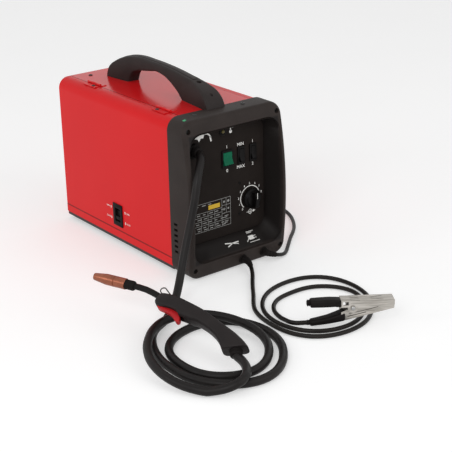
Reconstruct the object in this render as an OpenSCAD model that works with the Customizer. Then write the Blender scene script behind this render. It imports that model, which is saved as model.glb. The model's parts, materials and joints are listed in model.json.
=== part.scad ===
// Compact wire-feed (MIG) welding machine with its torch, work clamp and mains lead.
// Millimetres. X to the right seen from the front, -Y is the front, Z up, the floor is z = 0.

/* [Case] */
// Width over the red sheets
case_width = 224; // [210:1:240]
// Length of the red sheets
case_length = 387; // [370:1:410]
// Height of the red top above the floor
case_top = 305; // [290:1:320]
// Lower edge of the red sheets
case_bottom = 15; // [13:1:18]
// Height of the fixed red sill under the door
sill_height = 16; // [12:1:22]
// Thickness of the steel sheets
sheet = 1.5; // [1.2:0.1:2]
// Outer bend radius of the top edges
bend_radius = 22; // [18:1:26]
// Distance of the top seams from the centre line
seam_x = 83.5; // [78:0.5:86]
// Height of the rubber feet
foot_height = 8; // [6:0.5:11]

/* [Front] */
// How far the front moulding overlaps the red case at the sides
bezel_lip = 3; // [2:0.5:5]
// Radius of the bowed front, seen from the side
bow_radius = 750; // [650:10:900]
// Greatest depth of the front moulding
bezel_depth = 67; // [60:1:75]
// Wall thickness of the front moulding
bezel_wall = 3; // [2.5:0.5:4]
// Depth of the control panel in front of the red case
panel_depth = 25; // [22:1:30]
// Height of the rocker switches over their frames
switch_height = 34; // [30:1:38]
// Width of the lit mains switch over its frame
power_width = 26; // [22:1:30]
// Width of the two narrow switches over their frames
range_width = 16; // [14:1:18]
// Radius of the wire speed knob
knob_radius = 20; // [17:1:22]

/* [Handle and door] */
// Width of the carrying handle at its feet
handle_width = 42; // [36:1:48]
// Width of the handle where it is held
grip_width = 23; // [20:1:30]
// Height of the handle above the red top
handle_rise = 57; // [51:1:63]
// Length of each door hinge
hinge_length = 44; // [36:1:50]
// Width of the door latch plate
latch_width = 33; // [28:1:38]
// Height of the door latch plate
latch_height = 47; // [40:1:52]

/* [Cables] */
// Diameter of the torch cable
torch_cable = 15; // [13:0.5:15]
// Diameter of the work clamp cable
earth_cable = 8; // [7:0.5:8]
// Diameter of the mains lead
mains_cable = 7.5; // [6.5:0.5:7.5]

/* [Inside] */
// Radius of the wire spool flanges
spool_radius = 98; // [80:1:100]
// Radius of the drive roll
drive_radius = 15.2; // [13:0.1:16]
// Radius of the cooling fan
fan_radius = 53; // [45:1:54]

/* [Torch and clamp] */
// Radius of the swan neck
neck_radius = 5.5; // [5:0.5:6]
// Outer radius of the gas nozzle
nozzle_radius = 9.8; // [9.2:0.1:10.5]
// Width of the outer clamp jaw
jaw_width = 25; // [22:1:28]

/* [Hidden] */
$fn = 48;
// Running fit of turning pieces on their pins
fit = 0.06;
// Free gap between pieces that pass each other
gap = 0.4;
half_w = case_width / 2;
front_y = -165;
rear_y = front_y + case_length;
inner_w = half_w - sheet;
// The seams keep their distance from the sides when the width changes
seam = seam_x + half_w - 112;
roof = case_top - sheet;
sill_top = case_bottom + sill_height;
tray_z = foot_height;
floor_z = tray_z + 2;
frame_back = front_y + sheet;
panel_inner = rear_y - sheet;
bezel_w = half_w + bezel_lip;
bezel_top = case_top + 3;
bezel_base = 1;
bow_z = 130;
bow_y = front_y - bezel_depth + bow_radius;
panel_y = front_y - panel_depth;
panel_back = panel_y + 3;
rim_x = bezel_w - 9;
// x, z of the four front screws and the depth of each screw seat
front_screws = [[-103, 290, -208], [103, 290, -208], [-103, 21, -217], [103, 21, -217]];
// x, y, z of the screws on top
top_screws = [[-51, rear_y - 27, case_top], [51, rear_y - 27, case_top],
              [-66, front_y - 19, bezel_top], [46, front_y - 19, bezel_top]];
switch_z = 211;
power_x = 2;
range_x = 35;
step_x = 63.5;
rocker_radius = switch_height / 2 - 4;
rocker_y = panel_y + 1;
knob_x = 57;
knob_z = 120;
lamp_x = -7;
lamp_z = 266;
gland_x = -76;
gland_z = 243;
earth_x = 10;
earth_z = 15;
mains_x = 61;
mains_z = 17;
exit_y = -228;
latch_y = 21;
latch_z = 64;
hinge_ys = [128, -112];
barrel = 2.6;
hinge_z = case_top + barrel + gap;
handle_x = -8;
divider_x = -30;
feed_x = -76;
feed_y = -110;
wire_z = gland_z;
drive_z = wire_z - 0.4 - drive_radius;
press_radius = 10;
press_z = wire_z + 0.8 + press_radius;
arm_y = -142;
arm_z = 263;
spool_y = rear_y - 122;
spool_z = 165;
hub_radius = 26;
fan_x = 40;
fan_z = 170;
core_x = 40;
core_y = -20;
torch_at = [-238, -530, 31];
torch_turn = [10, 60, 12];
neck_bend = 15;
neck_bow = 110;
neck_y = 203;
neck_z = 6;
clamp_at = [-72, -500, 39.2];
clamp_turn = -32.7;
pivot_x = 78;

// Extrudes a shape drawn in X and Z along Y, from y0 to y1
module along_y(y0, y1) {
    translate([0, y1, 0]) rotate([90, 0, 0]) linear_extrude(y1 - y0) children();
}

// Extrudes a shape drawn in Y and Z along X, from x0 to x1
module along_x(x0, x1) {
    translate([x0, 0, 0]) rotate([90, 0, 90]) linear_extrude(x1 - x0) children();
}

// A box between two corners
module box(a, b) {
    translate(a) cube(b - a);
}

// A round bar along Y from y0 to y1
module bar_y(x, z, y0, y1, r) {
    translate([x, y1, z]) rotate([90, 0, 0]) cylinder(r = r, h = y1 - y0);
}

// A round bar along X from x0 to x1
module bar_x(y, z, x0, x1, r) {
    translate([x0, y, z]) rotate([0, 90, 0]) cylinder(r = r, h = x1 - x0);
}

// A rectangle with four round corners
module rounded(x0, x1, z0, z1, r) {
    translate([x0 + r, z0]) square([x1 - x0 - 2 * r, z1 - z0]);
    translate([x0, z0 + r]) square([x1 - x0, z1 - z0 - 2 * r]);
    for (x = [x0 + r, x1 - r], z = [z0 + r, z1 - r]) translate([x, z]) circle(r);
}

// A plate outline with only its two upper corners round
module arched(x, z0, z1, r) {
    translate([-x, z0]) square([2 * x, z1 - z0 - r]);
    translate([-x + r, z0]) square([2 * x - 2 * r, z1 - z0]);
    for (s = [-1, 1]) translate([s * (x - r), z1 - r]) circle(r);
}

function unit(v) = v / norm(v);

// One value of a smooth curve through p1 and p2
function curve(p0, p1, p2, p3, t) =
    0.5 * (2 * p1 + (p2 - p0) * t + (2 * p0 - 5 * p1 + 4 * p2 - p3) * t * t
    + (3 * p1 - p0 - 3 * p2 + p3) * t * t * t);

// A smooth run through all the points of a list
function smooth(p, steps) = let (n = len(p) - 1)
    concat([for (i = [0 : n - 1], k = [0 : steps - 1])
        curve(p[max(i - 1, 0)], p[i], p[i + 1], p[min(i + 2, n)], k / steps)], [p[n]]);

// The direction of a run at point i
function heading(p, i) = unit(p[min(i + 1, len(p) - 1)] - p[max(i - 1, 0)]);

// One ring of a tube
function ring(c, t, r, sides, up) = let (a = unit(cross(t, up)), b = cross(a, t))
    [for (k = [0 : sides - 1]) c + r * (cos(360 * k / sides) * a + sin(360 * k / sides) * b)];

// A tube along a run of points, with a first and a last heading
module tube(p, r, sides, first, last, up = [0, 0, 1]) {
    n = len(p);
    pts = [for (i = [0 : n - 1])
        each ring(p[i], i == 0 ? first : i == n - 1 ? last : heading(p, i), r, sides, up)];
    sheath = [for (j = [0 : n - 2], k = [0 : sides - 1]) let (a = j * sides, m = (k + 1) % sides)
        each [[a + k, a + m, a + m + sides], [a + k, a + m + sides, a + k + sides]]];
    caps = [for (k = [1 : sides - 2])
        each [[0, k + 1, k], [(n - 1) * sides, (n - 1) * sides + k, (n - 1) * sides + k + 1]]];
    polyhedron(pts, concat(sheath, caps), convexity = 10);
}

// Least free gap of a tube to itself, between points further along it than skip
function self_gap(p, r, skip) =
    min([for (i = [0 : len(p) - 2], j = [i + skip : 1 : len(p) - 1]) norm(p[i] - p[j])]) - 2 * r;

module base_tray() {
    color("#26282b") difference() {
        union() {
            box([-inner_w, frame_back, tray_z], [inner_w, panel_inner, floor_z]);
            for (s = [-1, 1])
                box([s > 0 ? inner_w - sheet : -inner_w, frame_back, tray_z],
                    [s > 0 ? inner_w : -inner_w + sheet, panel_inner, sill_top - 5]);
            along_y(front_y, frame_back) difference() {
                arched(inner_w - 0.5, tray_z, roof, bend_radius - 2);
                rounded(-94, 94, 32, 280, 10);
            }
        }
        for (s = front_screws) bar_y(s[0], s[1], front_y - 1, frame_back + 1, 2.3);
    }
}

module side_sills() {
    color("#b81f1c") for (s = [-1, 1])
        box([s > 0 ? inner_w : -half_w, front_y, case_bottom], [s > 0 ? half_w : -inner_w, rear_y, sill_top]);
}

module rear_panel() {
    color("#b81f1c") difference() {
        along_y(panel_inner, rear_y) arched(inner_w - 0.5, tray_z, roof, bend_radius - 2);
        for (k = [-4 : 4]) let (w = sqrt(50 * 50 - 121 * k * k))
            box([fan_x - w, panel_inner - 1, fan_z + 11 * k - 2.5],
                [fan_x + w, rear_y + 1, fan_z + 11 * k + 2.5]);
        for (k = [0 : 5])
            box([-88, panel_inner - 1, 180 + 14 * k], [-44, rear_y + 1, 184 + 14 * k]);
        bar_y(-70, 60, panel_inner - 1, rear_y + 1, 6.1);
    }
}

module top_plate() {
    color("#b81f1c") difference() {
        box([-seam + 0.3, front_y, roof], [seam - 0.3, rear_y, case_top]);
        for (k = [0, 1]) translate([top_screws[k][0], top_screws[k][1], roof - 1]) cylinder(r = 2.2, h = 4);
    }
}

// Section of a side sheet with its bent top edge, for the +X side
module side_section(seam, foot) {
    square_x = half_w - bend_radius;
    translate([inner_w, foot]) square([sheet, case_top - bend_radius - foot]);
    translate([seam, roof]) square([square_x - seam, sheet]);
    translate([square_x, case_top - bend_radius]) intersection() {
        difference() {
            circle(bend_radius);
            circle(bend_radius - sheet);
        }
        square(bend_radius);
    }
}

module right_panel() {
    color("#b81f1c") along_y(front_y, rear_y) side_section(seam - 0.3, sill_top);
}

module side_door() {
    color("#b81f1c") difference() {
        union() {
            along_y(front_y + gap, rear_y - gap) mirror([1, 0]) side_section(seam + 0.5, sill_top + gap);
            for (y = hinge_ys) {
                box([-seam - 14, y - hinge_length / 2, case_top],
                    [-seam - 3, y + hinge_length / 2, case_top + 1.5]);
                box([-seam - 4, y - 7, case_top], [-seam, y + 7, case_top + 1.5]);
                bar_y(-seam, hinge_z, y - 7, y + 7, barrel);
            }
        }
        for (y = hinge_ys) bar_y(-seam, hinge_z, y - 30, y + 30, 1.2 + fit);
        box([-half_w - 1, latch_y - latch_width / 2 + 2, latch_z - latch_height / 2 + 2],
            [-inner_w + 1, latch_y + latch_width / 2 - 2, latch_z + latch_height / 2 - 2]);
    }
}

module door_hinges() {
    color("#b81f1c") for (y = hinge_ys) {
        box([-seam + 3, y - hinge_length / 2, case_top],
            [-seam + 14, y + hinge_length / 2, case_top + 1.5]);
        for (s = [-1, 1]) {
            y0 = s > 0 ? y + 7 + gap : y - hinge_length / 2;
            y1 = s > 0 ? y + hinge_length / 2 : y - 7 - gap;
            bar_y(-seam, hinge_z, y0, y1, barrel);
            box([-seam, y0, case_top], [-seam + 4, y1, case_top + 1.5]);
        }
        bar_y(-seam, hinge_z, y - hinge_length / 2, y + hinge_length / 2, 1.2);
    }
}

module carry_handle() {
    crown = case_top + handle_rise;
    foot = handle_width / 2;
    grip = grip_width / 2;
    outer = smooth([[171, case_top], [169, case_top + 8], [161.5, crown - 35.5], [147, crown - 24],
                    [120, crown - 10.5], [90, crown - 3], [60, crown], [25, crown - 0.5], [0, crown - 1],
                    [-33, crown - 3], [-60, crown - 5.5], [-90, crown - 9.5], [-110, crown - 12],
                    [-130, crown - 17], [-150, crown - 24.5], [-162, crown - 33.5], [-171, crown - 45],
                    [front_y - 11, bezel_top]], 3);
    inner = smooth([[-78, case_top], [-64, crown - 44], [-45, crown - 32], [-28, crown - 24],
                    [-11, crown - 19.5], [5, crown - 18.5], [36, crown - 23.5], [60, crown - 27],
                    [83, crown - 34], [91, crown - 42], [100, case_top]], 3);
    side = smooth([[foot, front_y - 14], [foot, -165], [foot - 3, -148], [grip + 2, -122], [grip, -95],
                   [grip, 60], [grip + 2, 100], [foot - 4, 132], [foot - 1, 155], [foot - 1, 178]], 3);
    color("#2b2c2e") difference() {
        intersection() {
            along_x(handle_x - foot - 5, handle_x + foot + 5)
                polygon(concat(outer, [[front_y, bezel_top], [front_y, case_top]], inner));
            translate([handle_x, 0, 0]) linear_extrude(crown + 10)
                polygon(concat(side, [for (k = [len(side) - 1 : -1 : 0]) [-side[k][0], side[k][1]]]));
        }
        translate([handle_x, -122, crown - 22]) cylinder(r = 5, h = 40);
        translate([handle_x, -160, crown - 41]) cylinder(r = 2.5, h = 40);
    }
}

// The bowed outline of the front, drawn in Y and Z, moved in by inset
module bowed(inset) {
    intersection() {
        translate([bow_y, bow_z]) circle(bow_radius - inset, $fn = 96);
        translate([front_y - 90, -10]) square([92, 340]);
    }
}

// The recess round the control panel, grown by wall
module recess(wall) {
    intersection() {
        along_y(front_y - 90, panel_back + wall)
            rounded(-rim_x - wall, rim_x + wall, 31 - wall, 281 + wall, 28 + wall);
        linear_extrude(330) polygon([[-91 - wall, panel_back + wall], [91 + wall, panel_back + wall],
            [91 + wall + 22, panel_back + wall - 63], [-91 - wall - 22, panel_back + wall - 63]]);
        along_x(-130, 130) polygon([[panel_back + wall, 57 - wall], [panel_back + wall, 275 + wall],
            [panel_back + wall - 63, 294 + wall], [panel_back + wall - 63, 12.5 - wall]]);
    }
}

module front_bezel() {
    color("#2e2f31") difference() {
        intersection() {
            along_y(front_y - 80, front_y) rounded(-bezel_w, bezel_w, bezel_base, bezel_top, 24);
            along_x(-130, 130) bowed(0);
        }
        difference() {
            intersection() {
                along_y(front_y - 80, front_y + 1)
                    rounded(-bezel_w + 4, bezel_w - 4, bezel_base + 4, bezel_top - 4, 20);
                along_x(-130, 130) bowed(4);
            }
            recess(bezel_wall);
            for (s = front_screws) bar_y(s[0], s[1], front_y - 80, front_y + 2, 7);
            bar_y(earth_x, earth_z, front_y - 80, -205, 12);
            bar_y(mains_x, mains_z, front_y - 80, -205, 12);
        }
        recess(0);
        box([-84, panel_back - 1, 64], [84, front_y, 264]);
        bar_y(gland_x, gland_z, panel_back - 1, front_y, 11);
        bar_y(lamp_x, lamp_z, panel_back - 1, front_y, 5);
        for (s = front_screws) {
            bar_y(s[0], s[1], front_y - 80, s[2], 4.8);
            bar_y(s[0], s[1], front_y - 80, front_y + 1, 2.3);
        }
        for (g = [[earth_x, earth_z], [mains_x, mains_z]]) {
            bar_y(g[0], g[1], front_y - 80, -219.5, 9 + gap);
            bar_y(g[0], g[1], front_y - 80, -200, 6.1);
        }
        for (k = [0 : 5], s = [-1, 1])
            box([s * bezel_w - 6, -187, 48 + 11 * k], [s * bezel_w + 6, -176, 53 + 11 * k]);
        for (k = [2, 3])
            translate([top_screws[k][0], top_screws[k][1], bezel_top - 5]) cylinder(r = 2.2, h = 6);
    }
}

module case_screws() {
    color("#1b1b1c") {
        for (s = front_screws) {
            bar_y(s[0], s[1], s[2] - 3, s[2], 4.2);
            bar_y(s[0], s[1], s[2], frame_back + 4, 2.2);
        }
        for (s = top_screws) translate(s) {
            cylinder(r = 4, h = 1.8);
            translate([0, 0, -4]) cylinder(r = 2.1, h = 5);
        }
    }
}

module rubber_feet() {
    color("#161616") for (x = [-78, 78], y = [front_y + 35, rear_y - 34])
        translate([x, y, 0]) cylinder(r = 13, h = tray_z);
}

module divider_wall() {
    color("#8d9093") difference() {
        box([divider_x, frame_back, floor_z], [divider_x + 1.5, panel_inner, roof]);
        bar_x(feed_y, drive_z, divider_x - 1, divider_x + 3, 22 + gap);
        box([divider_x - 1, front_y, floor_z + 10], [divider_x + 3, -150, 300]);
    }
}

module latch_plate() {
    color("#1d1e20") difference() {
        union() {
            box([-half_w - 2, latch_y - latch_width / 2, latch_z - latch_height / 2],
                [-half_w, latch_y + latch_width / 2, latch_z + latch_height / 2]);
            box([-half_w - 1, latch_y - latch_width / 2 + 2.2, latch_z - latch_height / 2 + 2.2],
                [-half_w + 8, latch_y + latch_width / 2 - 2.2, latch_z + latch_height / 2 - 2.2]);
        }
        box([-half_w - 3, latch_y - 9, latch_z - 14], [-half_w + 4, latch_y + 9, latch_z + 14]);
        box([-half_w + 3, latch_y - 11, latch_z - 40], [-half_w + 6.5, latch_y + 11, latch_z + 18]);
    }
}

module latch_slider() {
    color("#111213") {
        box([-half_w + 3.3, latch_y - 10.6, sill_top + 1],
            [-half_w + 6.2, latch_y + 10.6, latch_z + 8]);
        box([-half_w - 1, latch_y - 8, latch_z - 10], [-half_w + 3.3, latch_y + 8, latch_z - 3]);
    }
}

module control_panel() {
    color("#343537") difference() {
        box([-90.6, panel_y, 57.4], [90.6, panel_back, 274.6]);
        switch_hole(power_x, power_width);
        switch_hole(range_x, range_width);
        switch_hole(step_x, range_width);
        bar_y(knob_x, knob_z, panel_y - 1, panel_back + 1, 4.6);
        bar_y(lamp_x, lamp_z, panel_y - 1, panel_back + 1, 4.6);
        bar_y(gland_x, gland_z, panel_y - 1, panel_back + 1, 10.6);
    }
}

module switch_hole(x, w) {
    box([x - w / 2 + 1.4, panel_y - 1, switch_z - switch_height / 2 + 1.4],
        [x + w / 2 - 1.4, panel_back + 1, switch_z + switch_height / 2 - 1.4]);
}

// Frame and body of one rocker switch
module switch_frame(x, w) {
    difference() {
        union() {
            box([x - w / 2, panel_y - 2.5, switch_z - switch_height / 2],
                [x + w / 2, panel_y, switch_z + switch_height / 2]);
            box([x - w / 2 + 1.5, panel_y, switch_z - switch_height / 2 + 1.5],
                [x + w / 2 - 1.5, panel_y + 18, switch_z + switch_height / 2 - 1.5]);
        }
        box([x - w / 2 + 2.5, panel_y - 3, switch_z - rocker_radius - gap],
            [x + w / 2 - 2.5, rocker_y + rocker_radius + 1, switch_z + rocker_radius + gap]);
        bar_x(rocker_y, switch_z, x - w / 2 + 1.7, x + w / 2 - 1.7, 1.4 + fit);
    }
}

module switch_frames() {
    color("#141415") {
        switch_frame(power_x, power_width);
        switch_frame(range_x, range_width);
        switch_frame(step_x, range_width);
    }
}

// One rocker, its upper half pressed in
module rocker(x, w) {
    r = rocker_radius;
    along_x(x - w / 2 + 2.9, x + w / 2 - 2.9) intersection() {
        translate([rocker_y, switch_z]) circle(r);
        translate([rocker_y, switch_z])
            polygon([[6, r + 1], [-4, r + 1], [-4, 0], [-4 - r * tan(24), -r], [6, -r]]);
    }
    bar_x(rocker_y, switch_z, x - w / 2 + 1.8, x + w / 2 - 1.8, 1.4);
}

module power_rocker() {
    color("#3f8f4c") rocker(power_x, power_width);
}

module range_rocker() {
    color("#1a1a1b") rocker(range_x, range_width);
}

module step_rocker() {
    color("#1a1a1b") rocker(step_x, range_width);
}

module thermal_lamp() {
    color("#8f8a5a") {
        bar_y(lamp_x, lamp_z, panel_y - 1.5, panel_y, 6.2);
        bar_y(lamp_x, lamp_z, panel_y, panel_back + 5, 4.5);
        translate([lamp_x, panel_y - 1.5, lamp_z]) rotate([90, 0, 0]) intersection() {
            sphere(r = 4.6);
            translate([-6, -6, 0]) cube(12);
        }
    }
}

module control_board() {
    color("#2f6b3c") {
        box([22, panel_back + 16, 85], [92, panel_back + 17.6, 155]);
        bar_y(knob_x, knob_z, panel_back, panel_back + 16, 8.5);
        bar_y(knob_x, knob_z, panel_y - 3, panel_back, 4.5);
        bar_y(knob_x, knob_z, panel_y - 17, panel_y - 3, 3);
        box([30, panel_back + 17.6, 92], [48, panel_back + 32, 120]);
        box([60, panel_back + 17.6, 130], [84, panel_back + 26, 148]);
        bar_y(76, 104, panel_back + 17.6, panel_back + 38, 7);
    }
}

module speed_knob() {
    color("#161617") difference() {
        translate([knob_x, panel_y - 4, knob_z]) rotate([90, 0, 0]) {
            rotate_extrude() polygon([[0, 0], [knob_radius, 0], [knob_radius, 2], [knob_radius - 2, 4],
                [knob_radius - 4, 5], [knob_radius - 5, 9], [0, 9]]);
            translate([-4, -knob_radius + 4.5, 8]) cube([8, 2 * knob_radius - 9, 10]);
        }
        bar_y(knob_x, knob_z, panel_y - 17.5, panel_y, 3 + fit);
    }
}

module torch_gland() {
    color("#19191a") {
        bar_y(gland_x, gland_z, panel_y - 12, panel_y - 6, 11);
        bar_y(gland_x, gland_z, panel_y - 6, panel_y, 14);
        bar_y(gland_x, gland_z, panel_y, panel_back + 6, 10.5);
    }
}

module cord_glands() {
    color("#19191a") for (g = [[earth_x, earth_z], [mains_x, mains_z]]) {
        bar_y(g[0], g[1], exit_y, -219.5, 9);
        bar_y(g[0], g[1], -219.5, -207, 6);
    }
}

module transformer_core() {
    color("#6d7174") difference() {
        box([core_x - 55, core_y - 40, floor_z], [core_x + 55, core_y + 40, 112]);
        for (s = [-1, 1])
            box([core_x + s * 27.5 - 9.5, core_y - 41, 30], [core_x + s * 27.5 + 9.5, core_y + 41, 94]);
    }
}

module transformer_coils() {
    color("#a8642f") difference() {
        box([core_x - 36, core_y - 58, 30.5], [core_x + 36, core_y + 58, 93.5]);
        box([core_x - 18, core_y - 40, 20], [core_x + 18, core_y + 40, 100]);
    }
}

module rectifier_sink() {
    color("#b9bcc0") {
        box([0, 62, floor_z], [90, 150, floor_z + 6]);
        for (k = [0 : 8]) box([1 + 10.7 * k, 62, floor_z + 6], [3.6 + 10.7 * k, 150, floor_z + 58]);
    }
}

module fan_frame() {
    half = fan_radius + 5;
    color("#1c1d1f") {
        difference() {
            box([fan_x - half, panel_inner - 25, fan_z - half], [fan_x + half, panel_inner, fan_z + half]);
            bar_y(fan_x, fan_z, panel_inner - 26, panel_inner + 1, fan_radius + 2);
        }
        bar_y(fan_x, fan_z, panel_inner - 8, panel_inner, 19);
        bar_y(fan_x, fan_z, panel_inner - 20, panel_inner - 8, 2.5);
        for (a = [45 : 90 : 315]) translate([fan_x, 0, fan_z]) rotate([0, a, 0])
            box([17, panel_inner - 5, -2.5], [fan_radius + 3, panel_inner, 2.5]);
    }
}

module fan_rotor() {
    color("#3a3c40") difference() {
        union() {
            bar_y(fan_x, fan_z, panel_inner - 24, panel_inner - 8 - gap, 18);
            for (k = [0 : 6]) translate([fan_x, panel_inner - 16, fan_z]) rotate([0, k * 360 / 7, 0])
                translate([16, 0, 0]) rotate([35, 0, 0]) translate([0, -1, -10])
                    cube([fan_radius - 18, 2, 20]);
        }
        bar_y(fan_x, fan_z, panel_inner - 21, panel_inner, 2.5 + fit);
    }
}

module feed_motor() {
    color("#55585c") {
        box([-52, feed_y - 27, drive_z - 27], [divider_x, feed_y + 27, drive_z + 27]);
        bar_x(feed_y, drive_z, divider_x, 35, 22);
        bar_x(feed_y, drive_z, feed_x - 8, -52, 4);
    }
}

module feed_plate() {
    color("#a7abaf") difference() {
        union() {
            box([-58, -152, 198], [-52, -68, 275]);
            box([feed_x - 5, -150, wire_z - 5], [-58, -131, wire_z + 5]);
            box([feed_x - 5, -88, wire_z - 5], [-58, -70, wire_z + 5]);
            bar_x(arm_y, arm_z, -73, -58, 4);
        }
        bar_x(feed_y, drive_z, -60, -50, 4 + gap);
        bar_y(feed_x, wire_z, -160, -60, 1.2);
    }
}

module drive_roll() {
    color("#9a9da1") difference() {
        bar_x(feed_y, drive_z, feed_x - 5, feed_x + 5, drive_radius);
        bar_x(feed_y, drive_z, feed_x - 6, feed_x + 6, 4 + fit);
    }
}

module pressure_arm() {
    color("#2a2b2e") {
        difference() {
            union() {
                bar_x(arm_y, arm_z, -69, -62, 7);
                bar_x(feed_y, press_z, -69, -62, 7);
                box([-69, arm_y, arm_z - 5], [-62, -76, arm_z + 5]);
            }
            bar_x(arm_y, arm_z, -70, -61, 4 + fit);
        }
        bar_x(feed_y, press_z, feed_x - 6, -69, 3);
        translate([-65.5, -84, arm_z + 5]) cylinder(r = 2.5, h = 6);
    }
}

module pressure_roll() {
    color("#9a9da1") difference() {
        bar_x(feed_y, press_z, feed_x - 5, feed_x + 5, press_radius);
        bar_x(feed_y, press_z, feed_x - 6, feed_x + 6, 3 + fit);
    }
}

module tension_knob() {
    color("#a51d1a") translate([-65.5, -84, arm_z + 5 + gap]) difference() {
        cylinder(r = 7, h = 12);
        translate([0, 0, -1]) cylinder(r = 2.5 + fit, h = 7.5);
    }
}

module spool_hub() {
    color("#232427") {
        bar_x(spool_y, spool_z, -98.3, -39.7, hub_radius - fit);
        bar_x(spool_y, spool_z, -39.7, divider_x, 33);
        bar_x(spool_y, spool_z, -104, -98.3, 31);
    }
}

module wire_spool() {
    color("#2f3134") difference() {
        union() {
            bar_x(spool_y, spool_z, -98, -94.5, spool_radius);
            bar_x(spool_y, spool_z, -43.5, -40, spool_radius);
            bar_x(spool_y, spool_z, -94.5, -43.5, 48);
        }
        bar_x(spool_y, spool_z, -99, -39, hub_radius);
        for (a = [0 : 60 : 300]) translate([0, spool_y, spool_z]) rotate([a, 0, 0])
            bar_x(0, 66, -99, -94, 9);
    }
}

module spool_wire() {
    color("#b98a62") difference() {
        bar_x(spool_y, spool_z, -94.5, -43.5, spool_radius - 14);
        bar_x(spool_y, spool_z, -95, -43, 48);
    }
}

module gas_inlet() {
    color("#b08d4a") {
        bar_y(-70, 60, panel_inner - 14, rear_y, 6);
        bar_y(-70, 60, rear_y, rear_y + 6, 9);
        bar_y(-70, 60, rear_y + 6, rear_y + 28, 4);
    }
}

// Puts a torch piece, drawn with its nose towards +Y and its trigger towards -Z, where it lies
module torch_place() {
    translate(torch_at) rotate([0, 0, torch_turn[2]]) rotate([torch_turn[0], 0, 0])
        rotate([0, torch_turn[1], 0]) children();
}

// Moves to the foot of the wire hook on the back of the torch
module hook_place() {
    translate([0, 176, 14.5]) rotate([-70, 0, 0]) children();
}

// One half of the torch handle, between x0 and x1
module torch_half(x0, x1) {
    back = smooth([[-14, 4], [-2, 8.5], [10, 11.5], [23, 14], [36, 15.5], [51, 17], [73, 19.5], [98, 21.5],
                   [124, 21], [149, 19.5], [164, 17], [176, 14], [183, 11]], 2);
    belly = smooth([[183, -9], [176, -12], [160, -10.5], [143, -8], [131, -10], [121, -8.5], [111, -7],
                    [101, -5.5], [93, -3.5], [79, -3.5], [59, -5.5], [47, -9], [37, -13.5], [31, -17],
                    [26, -20.5], [21, -24]], 2);
    color("#333436") torch_place() difference() {
        along_x(x0, x1) polygon(concat(back, belly));
        box([-6.4, 118, -40], [6.4, 179, 3]);
        bar_x(172, -6, -9, 9, 2 + fit);
        bar_y(0, neck_z, 150, 190, neck_radius + 0.05);
        hook_place() translate([0, -5.2, -14.5]) cylinder(r = 1.15, h = 40);
    }
}

module torch_handle_left() {
    torch_half(-15, 0);
}

module torch_handle_right() {
    torch_half(0, 15);
}

module torch_trigger() {
    finger = smooth([[177, -13.5], [168, -12.2], [160, -11.4], [151, -10.4], [146, -11], [141, -13.5],
                     [134, -18], [128, -22.5], [122, -23.5]], 3);
    color("#d8262c") torch_place() {
        along_x(-6, 6) polygon(concat([[177, -7], [176, -3], [168, -3], [131, -6], [123, -10]],
            [for (k = [len(finger) - 1 : -1 : 0]) finger[k]]));
        bar_x(172, -6, -8.8, 8.8, 2);
    }
}

// Moves to the straight end of the swan neck, with +Y along the nozzle
module neck_end() {
    translate([0, neck_y + neck_bow * sin(neck_bend), neck_z - neck_bow * (1 - cos(neck_bend))])
        rotate([-neck_bend, 0, 0]) children();
}

module torch_neck() {
    color("#18191a") torch_place() {
        bar_y(0, neck_z, 152, neck_y, neck_radius);
        translate([0, neck_y, neck_z - neck_bow]) rotate([0, -90, 0])
            rotate_extrude(angle = neck_bend) translate([neck_bow, 0]) circle(neck_radius);
        neck_end() bar_y(0, 0, 0, 34, neck_radius);
    }
}

module nozzle_collar() {
    color("#1b1c1e") torch_place() neck_end() difference() {
        union() {
            bar_y(0, 0, 8, 26, 9.6);
            bar_y(0, 0, 26, 33, 7.4);
        }
        bar_y(0, 0, 7, 34, neck_radius + 0.05);
    }
}

module gas_nozzle() {
    r = nozzle_radius;
    color("#c98a68") torch_place() neck_end() translate([0, 26, 0]) rotate([-90, 0, 0]) rotate_extrude()
        polygon([[7.4 + fit, 0], [r, 0], [r, 40], [r - 3.6, 64], [r - 4.8, 64], [r - 4.8, 48],
                 [7.4 + fit, 42]]);
}

module contact_tip() {
    color("#b5763f") torch_place() neck_end() bar_y(0, 0, 34, 84, 3.2);
}

module torch_hook() {
    color("#c9ccd0") torch_place() hook_place() {
        translate([0, -5.2, -14]) cylinder(r = 1.1, h = 28);
        translate([0, 5.2, 11]) cylinder(r = 1.1, h = 3);
        translate([0, 0, 14]) rotate([90, 0, 90]) rotate_extrude(angle = 180)
            translate([5.2, 0]) circle(1.1, $fn = 16);
    }
}

// Turns a point as a torch piece is turned, and moves it to where the torch lies
function turn_x(p, a) = [p[0], p[1] * cos(a) - p[2] * sin(a), p[1] * sin(a) + p[2] * cos(a)];
function turn_y(p, a) = [p[0] * cos(a) + p[2] * sin(a), p[1], p[2] * cos(a) - p[0] * sin(a)];
function turn_z(p, a) = [p[0] * cos(a) - p[1] * sin(a), p[0] * sin(a) + p[1] * cos(a), p[2]];
function on_torch(p) = torch_at
    + turn_z(turn_x(turn_y(p, torch_turn[1]), torch_turn[0]), torch_turn[2]);

// Torch cable: route of the hanging lead, then the loops on the floor round a centre
torch_route = [[-76, -202, 243], [-77, -211, 242], [-82, -221, 236], [-91, -229, 225], [-100, -235.5, 211],
               [-107, -240, 195], [-115, -244, 171], [-124, -246.5, 145], [-135, -250, 117],
               [-148, -255.5, 89], [-161, -263, 63], [-177, -275, 39], [-198, -292, 20], [-224, -313, 10],
               [-250, -333, 8]];
torch_centre = [-250, -480];
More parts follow.
